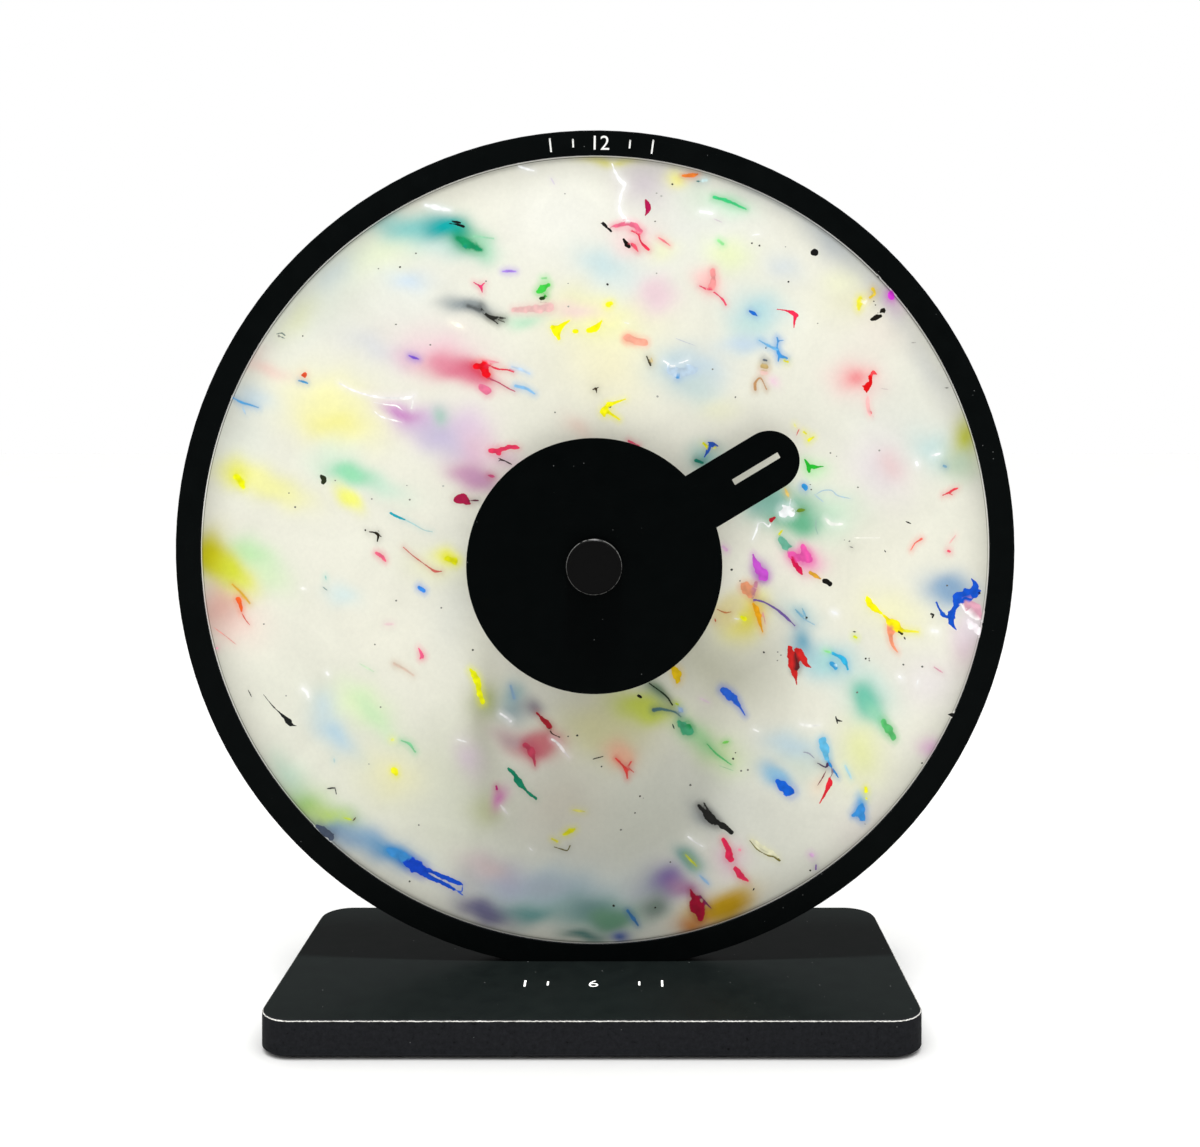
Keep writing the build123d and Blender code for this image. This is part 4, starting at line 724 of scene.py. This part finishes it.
0E60D4 20 583 -740 160 604 -759 332 626 -774 364
62B8E0 30 728 -611 256 733 -637 281 741 -664 192
E42434 10 750 -731 90 750 -749 185 738 -772 147 718 -810 35
388ED6 25 852 -818 192 848 -838 332 853 -857 256
388ED6 25 840 -841 192 824 -849 115
1C1C1A 28 331 -818 96 349 -836 224 369 -858 332 387 -872 256
1C1C1A 14 387 -871 160 412 -887 217 436 -903 141
282826 20 348 -810 48 364 -839 96
E4E2C0 28 502 -928 128 527 -951 205 559 -969 205 582 -984 128
746E2C 12 495 -930 38 518 -957 54 546 -974 54 573 -982 90 589 -994 83
E02652 20 411 -928 160 424 -954 198 431 -983 301
DE2C54 20 448 -1020 160 465 -1040 249 488 -1058 58
24BE30 14 670 288 58 681 270 153 683 249 121
24BE30 14 683 266 160 703 264 121 729 266 35
3094D6 22 666 202 179 670 198 179
F8FCFC 24 606 121 422 622 123 422
688A28 20 643 123 134 669 127 115
B01E2E 12 562 95 147 574 102 96
EEED16 12 585 47 109 599 62 109
68AE94 28 594 34 192 610 13 269 624 10 128
E856A8 28 626 -16 224 649 -24 332 668 -22 435 686 -32 256
E856A8 28 663 12 128 668 -11 307
CC124A 14 628 -19 128 639 -43 173 652 -64 166 661 -78 58
D89E2C 14 687 -74 134 703 -82 134 721 -94 45
0C0A05 8 732 -101 179 751 -108 179
C650CC 22 505 -16 70 514 -43 205 527 -70 396 543 -86 301
8434A8 30 530 -78 173 537 -90 173
DE946C 35 480 -121 352 495 -134 364
EEA614 22 507 -175 128 518 -199 205 526 -231 134 535 -263 35
F6EC06 14 869 -152 70 877 -171 230 892 -189 198 914 -203 77
F6E408 14 924 -212 77 943 -230 237 965 -247 301 983 -257 160
F2C40C 20 943 -231 128 962 -247 160
F2ED38 30 984 -259 134 1032 -263 45
F29670 22 945 -251 256 945 -279 173 950 -305 96 966 -327 32
140C05 8 970 -261 83 981 -268 96
140C05 8 987 -279 61 992 -288 61
0C50C6 8 1203 -93 51 1215 -110 160 1214 -127 269 1199 -142 428 1176 -150 460 1158 -159 332 1155 -175 192
0C50C6 8 1158 -177 141 1145 -191 166 1136 -210 301 1137 -227 249 1146 -246 96 1154 -256 29
0C50C6 8 1216 -126 160 1230 -132 70
0C50C6 8 1131 -214 160 1112 -211 96 1103 -203 42
14143E 10 1225 -138 77 1229 -139 64
1A56C0 10 1091 -168 64 1099 -188 80 1111 -204 80 1125 -215 96
D69EB0 18 1184 -166 160 1204 -183 416 1223 -206 352
FAF5F5 24 1168 -169 51 1184 -195 83 1207 -215 109 1234 -227 45
F6EEF2 38 1191 -230 192 1213 -247 307 1226 -267 128
14120F 8 1073 -205 74 1082 -207 67 1078 -216 54
E8385E 18 -333 316 160 -316 314 237 -307 308 128
E8385E 18 -314 318 160 -291 323 153 -266 329 147 -242 325 121
E4E616 14 346 340 109 358 329 134
2854B4 14 363 342 109 379 336 173 392 331 58
2854B4 14 365 331 134 358 312 102 349 296 38
187C68 30 324 284 141 343 278 109
""".replace("\n ", " ").strip().splitlines():
    colour, softness, *points = row.split()
    points = np.array(points, float).reshape(-1, 3) / (10, 10, 100)
    flecks.append((colour, int(softness) / 100, smooth_run(points)))
# Each speck: place, radius, and how dark it is (0 is black). It is a short crisp fleck.
for x, z, radius, dark in np.array("""
-624 903 32 60 -693 898 26 120 -573 947 29 110 -637 720 42 110 -935 683 32 50 -1011 683 51 150
-527 654 29 110 -443 719 26 80 -349 858 29 60 -87 851 26 130 -97 1137 22 140 19 1043 26 70 69 1192 26 70
246 1168 38 40 191 1049 32 60 196 1139 38 170 211 1130 42 180 -86 777 29 150 -128 438 32 120 48 456 26 50
199 490 45 160 500 979 32 70 525 972 35 60 608 968 26 150 711 723 26 140 375 577 32 110 448 487 32 100
546 645 32 60 890 794 32 60 895 782 26 70 196 883 26 150 -831 221 22 120 -714 162 32 120 -593 160 32 120
-979 181 26 110 -959 136 32 100 -636 -163 32 120 -492 -186 32 110 -704 -303 38 130 -602 205 22 140
-1059 -238 29 110 -686 -503 29 120 -723 -685 26 120 -564 -880 32 130 -988 -467 32 150 -593 -1060 42 90
-87 -597 32 80 -58 -594 42 70 -115 -599 32 60 20 -693 35 60 143 -788 38 50 154 -794 22 90 127 -841 42 50
59 -1138 54 40 192 -1144 38 50 82 -895 35 120 240 -998 32 90 304 -752 48 110 582 -354 32 130
864 -348 42 50 876 -355 26 120 985 -368 29 110 1045 -374 32 90 1044 -682 38 60 448 -649 32 60
440 -668 42 60 466 -707 32 110 488 -704 38 110 837 -456 38 120 687 -1025 32 60 752 309 32 110
771 298 22 140 839 199 32 120 908 317 38 150 687 208 26 90 690 192 26 90 436 -65 32 70 539 -328 48 50
675 -217 38 50 1124 -115 32 100 812 27 26 120 -129 439 32 120 436 -64 45 60 -391 -321 45 50
715 -89 38 160 -486 203 45 190 984 -367 32 90 593 -337 29 130 875 -347 22 110 583 -327 29 140
796 31 22 150
""".split(), float).reshape(-1, 4) / (10, 10, 100, 1):
    grey = "%02X%02X%02X" % (int(dark), int(dark), int(dark) - 8)
    flecks.append((grey, 0.08, smooth_run(np.array([(x, z, 1.7 * radius), (x + 0.1, z, 1.7 * radius)]))))

bpy.ops.object.select_all(action="DESELECT")
bpy.ops.mesh.primitive_circle_add(vertices=DIAL_FACETS, radius=DIAL_RADIUS, fill_type="NOTHING",
                                  location=(0, DIAL_FRONT, RING_MIDDLE_Z), rotation=(math.pi / 2, 0, 0))
dial = bpy.context.object
dial.name = "flecked_dial"
bpy.ops.object.transform_apply(location=True, rotation=True, scale=True)
bpy.ops.object.mode_set(mode="EDIT")
bpy.ops.mesh.select_all(action="SELECT")
bpy.ops.mesh.fill_grid(span=DIAL_FACETS // 4, offset=0, use_interp_simple=True)
bpy.ops.object.mode_set(mode="OBJECT")
body = dial.modifiers.new("body", "SOLIDIFY")
body.thickness = DIAL_BACK - DIAL_FRONT
body.offset = -1
rim = dial.modifiers.new("rim", "BEVEL")
rim.width = 0.2 * MM
rim.segments = 2
rim.limit_method = "ANGLE"
rim.angle_limit = math.radians(60)
bpy.ops.mesh.primitive_cylinder_add(vertices=64, radius=BORE_RADIUS, depth=20 * MM,
                                    location=(0, 0, SPINDLE_Z), rotation=(math.pi / 2, 0, 0))
bore = bpy.context.object
cut = dial.modifiers.new("bore", "BOOLEAN")
cut.object = bore
cut.solver = "EXACT"
bpy.context.view_layer.objects.active = dial
for name in ("body", "rim", "bore"):
    bpy.ops.object.modifier_apply(modifier=name)
bpy.data.objects.remove(bore)
bpy.ops.object.select_all(action="DESELECT")
dial.select_set(True)
bpy.ops.object.shade_smooth_by_angle(angle=math.radians(35))

MILK = "E8E7D8"
FAR = 3.5
SKIRT = 0.4


def box_round(line, reach):
    """The low and high corners of a line's box, widened all round."""
    return line[:, :2].min(0) - reach, line[:, :2].max(0) + reach


def stained(piece):
    """Gives a piece's points the dial's clouds, painted shade among them, and each its nearest fleck's
    colour and distance.
    """
    count = len(piece.data.vertices)
    spots = np.empty(count * 3)
    piece.data.vertices.foreach_get("co", spots)
    x, z = spots[::3] / MM, (spots[2::3] - RING_MIDDLE_Z) / MM
    # The press drags the soft colours a few millimetres this way and that.
    wx = x + 0.9 * np.sin(z * 0.21 + 1.3) + 0.4 * np.sin(x * 0.43 + z * 0.37)
    wz = z + 0.9 * np.sin(x * 0.19 + 0.4) + 0.4 * np.sin(z * 0.39 - x * 0.48)
    cloud_and_shade = np.tile(linear(MILK), (count, 1))
    for colour, strength, cx, cz, long, wide, turn in clouds_and_shade:
        cos, sin = math.cos(math.radians(turn)), math.sin(math.radians(turn))
        along = ((wx - cx) * cos + (wz - cz) * sin) / long
        across = ((wz - cz) * cos - (wx - cx) * sin) / wide
        weight = min(1, 1.2 * strength) * np.exp(-0.75 * (along * along + across * across))
        weight = weight[:, None]
        cloud_and_shade = cloud_and_shade * (1 - weight) + np.array(linear(colour)) * weight
    edge, soft, half = np.full(count, FAR), np.full(count, 0.2), np.zeros(count)
    tint = cloud_and_shade.copy()
    for colour, softness, line in flecks:
        shade = np.array(linear(colour))
        widest = line[:, 2].max()
        low, high = box_round(line, FAR + widest / 2)
        near = np.flatnonzero((x > low[0]) & (x < high[0]) & (z > low[1]) & (z < high[1]))
        nearest = np.full(len(near), FAR)
        for (ax, az, aw), (bx, bz, bw) in zip(line, line[1:]):
            dx, dz = bx - ax, bz - az
            px, pz = x[near] - ax, z[near] - az
            along = np.clip((px * dx + pz * dz) / (dx * dx + dz * dz), 0, 1)
            here = (aw + (bw - aw) * along) / 2
            away = np.hypot(px - along * dx, pz - along * dz) - here
            nearer = away < edge[near]
            edge[near[nearer]], half[near[nearer]] = away[nearer], here[nearer]
            soft[near[nearer]], tint[near[nearer]] = softness, shade
            nearest = np.minimum(nearest, away)
        # A soft-edged shard has a blurred skirt of its colour, where it sinks into the milk.
        skirt = SKIRT * min(1, widest) * min(1, max(0, softness - 0.1) / 0.15)
        skirt = (skirt * np.exp(-(np.maximum(nearest, 0) / 1.1) ** 2))[:, None]
        cloud_and_shade[near] = cloud_and_shade[near] * (1 - skirt) + shade * skirt
    layers = {"cloud_and_shade": cloud_and_shade, "fleck": tint, "edge": edge, "soft": soft, "half": half}
    for name, values in layers.items():
        kind, field = ("FLOAT", "value") if values.ndim == 1 else ("FLOAT_COLOR", "color")
        piece.data.attributes.new(name, kind, "POINT").data.foreach_set(field, values.ravel())


# The shards are thin flakes let into the face, a few microns proud of it: a strip along each fleck
# with round ends, wide enough for its soft edge, on a level of its own where it crosses another.
LEVEL = 0.003 * MM
FLAKE = 0.06 * MM
RISE = 0.00002 * MM
corners, faces, lying = [], [], []
for _, softness, line in flecks:
    widest = line[:, 2].max()
    margin = 0.3 + 1.1 * softness + 0.05 * widest
    way = np.gradient(line[:, :2], axis=0)
    way /= np.hypot(way[:, 0], way[:, 1])[:, None]
    low, high = box_round(line, widest / 2 + margin)
    taken = {used for start, end, used in lying if (start < high).all() and (low < end).all()}
    level = min(set(range(len(taken) + 1)) - taken)
    lying.append((low, high, level))
    lift = DIAL_FRONT - (level + 2) * LEVEL
    first = len(corners)
    halves = np.maximum(line[:, 2], 0.05) / 2
    for (x, z, _), (ax, az), half in zip(line, way, halves):
        for out in (-half - margin, -half, 0, half, half + margin):
            corners.append((x - az * out, lift, z + ax * out))
        lift -= RISE
    for start in range(first, len(corners) - 5, 5):
        faces += [(i, i + 1, i + 6, i + 5) for i in range(start, start + 4)]
    for row, sign in ((0, -1), (len(line) - 1, 1)):
        centre = first + 5 * row + 2
        x, z, half = *line[row, :2], halves[row]
        ax, az = way[row] * sign
        inner, outer = [centre + sign], [centre + 2 * sign]
        for turn in range(1, 6):
            cos, sin = math.cos(math.pi * turn / 6), math.sin(math.pi * turn / 6)
            aim = ax * sin - az * cos, ax * cos + az * sin
            inner.append(len(corners))
            outer.append(len(corners) + 1)
            for out in (half, half + margin):
                corners.append((x + aim[0] * out, lift, z + aim[1] * out))
        inner.append(centre - sign)
        outer.append(centre - 2 * sign)
        for i in range(6):
            faces.append((centre, inner[i + 1], inner[i]))
            faces.append((inner[i], inner[i + 1], outer[i + 1], outer[i]))


def from_points(name, corners, faces):
    """A new piece from its corners and faces, alone selected."""
    mesh = bpy.data.meshes.new(name)
    mesh.from_pydata(corners, [], faces)
    made = bpy.data.objects.new(name, mesh)
    bpy.context.collection.objects.link(made)
    bpy.ops.object.select_all(action="DESELECT")
    bpy.context.view_layer.objects.active = made
    made.select_set(True)
    return made


shards = from_points("dial_shards", [(x * MM, y, z * MM + RING_MIDDLE_Z) for x, y, z in corners], faces)
bpy.ops.object.mode_set(mode="EDIT")
bpy.ops.mesh.select_all(action="SELECT")
bpy.ops.mesh.extrude_region_move(TRANSFORM_OT_translate={"value": (0, FLAKE, 0)})
bpy.ops.mesh.select_all(action="SELECT")
bpy.ops.mesh.normals_make_consistent(inside=False)
bpy.ops.object.mode_set(mode="OBJECT")


def radius_from(tree, place, x, z):
    """How far a place lies from an axis along Y."""
    off = add(tree, "VectorMath", place, (x, 0, z), operation="SUBTRACT")
    flat = add(tree, "VectorMath", off, (1, 0, 1), operation="MULTIPLY")
    return add(tree, "VectorMath", flat, operation="LENGTH")


plate, tree, shader, place = finish_of("pressed_bottle_cap_polyethylene", Roughness=0.42,
                                       Specular_IOR_Level=0.1)
cloud_and_shade, fleck = (add(tree, "Attribute", attribute_name=name) for name in ("cloud_and_shade", "fleck"))
edge, soft, half = (add(tree, "Attribute", attribute_name=name).node.outputs["Fac"]
                    for name in ("edge", "soft", "half"))
STREAK, GRAIN, PATCH, TEAR, BITE = 23.8 * MM, 1.11 * MM, 71.4 * MM, 0.435 * MM, 2.38 * MM
# Streaks of thicker and thinner milk, 10 to 30 mm long.
swirl = add(tree, "TexNoise", Vector=place, Scale=1 / STREAK, Detail=5, Roughness=0.6, Distortion=0.7)
milky = add(tree, "MapRange", swirl, 0.3, 0.7, 0.85, 0.93)
grain = add(tree, "TexNoise", Vector=place, Scale=1 / GRAIN, Detail=3)
fine = add(tree, "MapRange", grain, 0.3, 0.7, 0.975, 1.01)
light = add(tree, "Math", milky, fine, operation="MULTIPLY")
# The border is darker, as the ring's ledge behind the plate keeps the light from it.
BORDER_INNER, BORDER_OUTER = 113 * MM, 125.5 * MM
radius = radius_from(tree, place, 0, RING_MIDDLE_Z)
border = add(tree, "MapRange", radius, BORDER_INNER, BORDER_OUTER, 0, 0.56)
border = add(tree, "Math", border, 2, operation="POWER")
dim = add(tree, "Math", 1, border, operation="SUBTRACT")
light = add(tree, "Math", light, dim, operation="MULTIPLY")
under = add(tree, "VectorMath", cloud_and_shade, operation="SCALE", Scale=light)
# The turned rim has a thin pale line painted on as a highlight, and a thin dark line of painted shade
# inside it, as of a narrow gap.
patchy = add(tree, "TexNoise", Vector=place, Scale=1 / PATCH, Detail=3)
amount = add(tree, "MapRange", patchy, 0.35, 0.6, 0.3, 0.8)
for middle, half_width, colour in (
        (125.85 * MM, 0.26 * MM, "F6F5F0"), (125.36 * MM, 0.13 * MM, "121210")):
    off = add(tree, "Math", radius, middle, operation="SUBTRACT")
    off = add(tree, "Math", off, operation="ABSOLUTE")
    on = add(tree, "MapRange", off, 0.5 * half_width, half_width, amount, 0)
    under = add(tree, "Mix", data_type="RGBA", Factor=on, _6=under, _7=colour)
# The shards' edges are ragged by about 0.1 mm, and a wide one is torn deeper.
tear = add(tree, "TexNoise", Vector=place, Scale=1 / TEAR, Detail=4, Roughness=0.6)
ragged = add(tree, "MapRange", tear, 0.3, 0.7, -0.07, 0.07)
bite = add(tree, "TexNoise", Vector=place, Scale=1 / BITE, Detail=1)
bitten = add(tree, "MapRange", bite, 0.35, 0.7, -0.15, 0.45)
torn = add(tree, "Math", bitten, half, ragged, operation="MULTIPLY_ADD")
outside = add(tree, "Math", edge, torn, operation="ADD")
outside = add(tree, "Math", outside, soft, operation="DIVIDE")
inside = add(tree, "MapRange", outside, -0.5, 0.6, 1, 0, interpolation_type="SMOOTHSTEP")
uneven = add(tree, "MapRange", bite, 0.3, 0.7, 1.02, 0.74)
dyed = add(tree, "VectorMath", fleck, operation="SCALE", Scale=uneven)
stain = add(tree, "Mix", data_type="RGBA", Factor=inside, _6=under, _7=dyed)
wave = add(tree, "Bump", Height=swirl, Strength=0.05, Distance=MM)
add(tree, shader, Base_Color=stain, Normal=wave)
for piece in (dial, shards):
    stained(piece)
    dress(plate, piece)
    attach(piece, "stand")
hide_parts("dial_disc")

# Screws
# Two socket screws from below draw the ring down, and six small slotted ones hold the dial in its
# ledge. Cold-headed steel with a bright zinc plate, which gives a faint cloudy blue.
zinc, *_ = grained("bright_zinc_plated_steel", "8B8F93", "B6B7B4", 0.667, (0.28, 0.42), Metallic=1)
dress(zinc, "ring_screws", "dial_screws")

# Movement fixing
# A die-cut rubber washer behind the dial, and the movement's own brass bush, washer and hex nut
# in front of it, turned from bar, whose fine tool rings draw the highlights out in circles.
SPINDLE = (0, SPINDLE_Z)
dress(rubber, "movement_gasket")
brass, *_ = grained("turned_brass", "A8823A", "D8B566", 0.111, (0.2, 0.36), 0.3, turned=SPINDLE,
                    Metallic=1)
dress(brass, "threaded_bush", "dial_washer", "dial_nut")

# Gear train
# The tide wheel with its spindle, two more wheels and the rotor's pinion, all moulded in natural
# acetal: off-white and waxy, with a faint flow pattern.
acetal, *_ = grained("moulded_natural_acetal", "D8D6CC", "F0EEE6", 1.67, (0.28, 0.4), 0.1)
dress(acetal, "tide_wheel", "intermediate_wheel", "third_wheel", "rotor_pinion")

# Step motor
# A sintered ferrite magnet, dull and speckled, on the rotor, a stator stamped from soft steel sheet
# and left with the marks of the rolling, and a cream nylon bobbin on a steel core, wound with
# enamelled copper wire.
ferrite, *_ = grained("sintered_ferrite", "29292B", "454547", 0.385, (0.5, 0.7), 0.5)
dress(ferrite, "rotor_magnet")
rolled, *_ = grained("rolled_core_steel", "717478", "9A9C9F", 0.417, (0.28, 0.46),
                     lay=(0.06, 1, 1), Metallic=1)
dress(rolled, "stator_plate", "coil_core")
nylon, *_ = grained("moulded_natural_nylon", "CDC6B0", "E4DECA", 1.43, (0.4, 0.55))
dress(nylon, "coil_bobbin")
# The turns of wire are drawn 0.25 mm apart, coarser than the real 0.05 mm, which would not show.
copper, *_ = grained("enamelled_copper_wire", "7E3F1C", "C47440", 0.25, (0.22, 0.4), 0.8,
                     lay=(1, 0.02, 0.02), Metallic=1)
dress(copper, "coil_winding")

# Circuit
# A small glass-epoxy board under green solder mask, its tracks a paler green, with the chip under
# a glossy blob of black epoxy and the timekeeping crystal in a drawn nickel-plated can.
mask, tree, shader, tone = grained("green_solder_mask", "0B4620", "125C2E", 2, (0.22, 0.34))
place = tree.nodes["Texture Coordinate"].outputs["Object"]
TRACK_PITCH = 2.38 * MM
cells = add(tree, "TexVoronoi", feature="DISTANCE_TO_EDGE", distance="CHEBYCHEV",
            Vector=place, Scale=1 / TRACK_PITCH)
track = add(tree, "Math", cells, 0.09, operation="LESS_THAN")
add(tree, shader, Base_Color=add(tree, "Mix", data_type="RGBA", Factor=track, _6=tone, _7="2E8A4C"))
dress(mask, "circuit_board")
epoxy, *_ = grained("black_blob_epoxy", "0B0B0B", "181818", 2, (0.08, 0.2))
dress(epoxy, "chip_cap")
can, *_ = grained("drawn_nickel_can", "B4B3AE", "D2D1CC", 0.625, (0.1, 0.22), 0.1,
                  lay=(0.05, 1, 1), Metallic=1)
dress(can, "quartz_crystal")

# Movement case
# Two halves moulded in black ABS with a matt spark-eroded texture, snapped together. The lid carries
# a moulded arrow round the set knob, and a plus and a minus over the battery bay. The texture is
# drawn 0.3 mm across, coarser than the real 0.1 mm, which would not show.
abs_black, *_ = grained("spark_textured_black_abs", "111213", "202122", 0.313, (0.5, 0.64), 0.6)
dress(abs_black, "movement_case_front", "movement_case_rear")
LID_FACE = 18.3 * MM
RELIEF = 0.6 * MM
KNOB_X, KNOB_Z = -7.5 * MM, 148.6 * MM
ARROW_RADIUS = 7.6 * MM
ARROW_HALF = 0.4 * MM
SIGN_X, SIGN_Z = 21 * MM, 129.5 * MM
ARM, HALF = 1.6 * MM, 0.35 * MM


def relief(name, *outline):
    """A low raised mark, half sunk in the lid's face, from its outline across and up."""
    made = from_points(name, [(x, LID_FACE, z) for x, z in outline], [range(len(outline))])
    rise = made.modifiers.new("rise", "SOLIDIFY")
    rise.thickness = RELIEF
    rise.offset = 0
    bpy.ops.object.modifier_apply(modifier="rise")
    bpy.ops.object.mode_set(mode="EDIT")
    bpy.ops.mesh.select_all(action="SELECT")
    bpy.ops.mesh.normals_make_consistent(inside=False)
    bpy.ops.mesh.bevel(offset=0.06 * MM, segments=2, affect="EDGES")
    bpy.ops.object.mode_set(mode="OBJECT")
    dress(abs_black, made)
    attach(made, "stand")


def round_knob(out, degrees):
    """A point round the set knob, as many half widths out from the arrow's line."""
    turn, radius = math.radians(degrees), ARROW_RADIUS + out * ARROW_HALF
    return KNOB_X + radius * math.cos(turn), KNOB_Z + radius * math.sin(turn)


sweep = range(130, 371, 10)
relief("lid_setting_arrow", *(round_knob(1, turn) for turn in sweep), round_knob(3, 370),
       round_knob(0, 392), round_knob(-3, 370), *(round_knob(-1, turn) for turn in reversed(sweep)))
relief("lid_plus_mark", *((SIGN_X + x, SIGN_Z + z) for x, z in (
    (HALF, ARM), (-HALF, ARM), (-HALF, HALF), (-ARM, HALF), (-ARM, -HALF), (-HALF, -HALF),
    (-HALF, -ARM), (HALF, -ARM), (HALF, -HALF), (ARM, -HALF), (ARM, HALF), (HALF, HALF))))
relief("lid_minus_mark", *((-SIGN_X + x, SIGN_Z + z) for x, z in (
    (ARM, HALF), (-ARM, HALF), (-ARM, -HALF), (ARM, -HALF))))

# Battery and contacts
# A plain AA cell: a nickel-plated steel can in a shrunk foil jacket, graphite grey with a pale band
# and a blue-grey shoulder at the positive end, between two bent strips of nickel-plated spring
# steel, bright along the way it was rolled.
jacket, tree, shader, tone = grained("shrunk_foil_jacket", "1D2024", "2A2D31", 2.5, (0.22, 0.32), 0.1)
along = add(tree, "SeparateXYZ", tree.nodes["Texture Coordinate"].outputs["Object"])
for test, end, colour in (
        ("GREATER_THAN", 15.2 * MM, "C9CCCB"), ("GREATER_THAN", 16.8 * MM, "5B6B78"),
        ("GREATER_THAN", 24.3 * MM, "B9BAB6"), ("LESS_THAN", -23.6 * MM, "B9BAB6")):
    past = add(tree, "Math", along, end, operation=test)
    tone = add(tree, "Mix", data_type="RGBA", Factor=past, _6=tone, _7=colour)
add(tree, shader, Base_Color=tone)
dress(jacket, "battery_cell")
spring, *_ = grained("nickel_plated_spring_steel", "9E9E98", "C6C5BE", 0.385, (0.18, 0.34),
                     lay=(1, 1, 0.06), Metallic=1)
dress(spring, "battery_contact_positive", "battery_contact_negative")

# Set knob
# The fluted knob that turns the hand, moulded in the same ABS but from a polished mould, so that
# it shines a little more than the case.
knob_abs, *_ = grained("polished_black_abs", "101112", "191A1B", 0.667, (0.3, 0.42), 0.1)
dress(knob_abs, "set_knob")

# Hand
# The tide pointer: a disc with a round-ended tab and a reading slit, cut from 1.5 mm black
# laminate, its faces rubbed to a faint sheen, held on the spindle by a moulded hub.
hub_nylon, *_ = grained("moulded_black_nylon", "101112", "1B1C1D", 0.556, (0.4, 0.55))
dress(hub_nylon, "hand_hub")
dress(board_finish("black_hand_laminate", "010303", "040606", "Y"), "hand_plate")

# Cap
# A cap turned from black rod that covers the spindle's end. Along the edge of its bevel a thin pale
# line, broken here and there, is painted as a highlight.
cap_black, tree, shader, tone = grained("turned_black_plastic", "050505", "0A0A0A", 0.2,
                                        (0.3, 0.42), 0.1, turned=SPINDLE, Specular_IOR_Level=0.05)
place = tree.nodes["Texture Coordinate"].outputs["Object"]
CHIP, BEVEL_DEPTH, HIGHLIGHT_LINE_HALF = 1.11 * MM, 0.39 * MM, 0.08 * MM
spot = add(tree, "SeparateXYZ", place).node
chips = add(tree, "TexNoise", Vector=place, Scale=1 / CHIP, Detail=3)
kept = add(tree, "MapRange", chips, 0.36, 0.5)
edge_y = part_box("centre_cap")[0].y + BEVEL_DEPTH
# The painted highlight: a pale line at the bevel's edge, broken by noise.
rim = add(tree, "Math", spot.outputs["Y"], edge_y, HIGHLIGHT_LINE_HALF, operation="COMPARE")
rim = add(tree, "Math", rim, kept, operation="MULTIPLY")
add(tree, shader, Base_Color=add(tree, "Mix", data_type="RGBA", Factor=rim, _6=tone, _7="5E5E5C"))
dress(cap_black, "centre_cap")
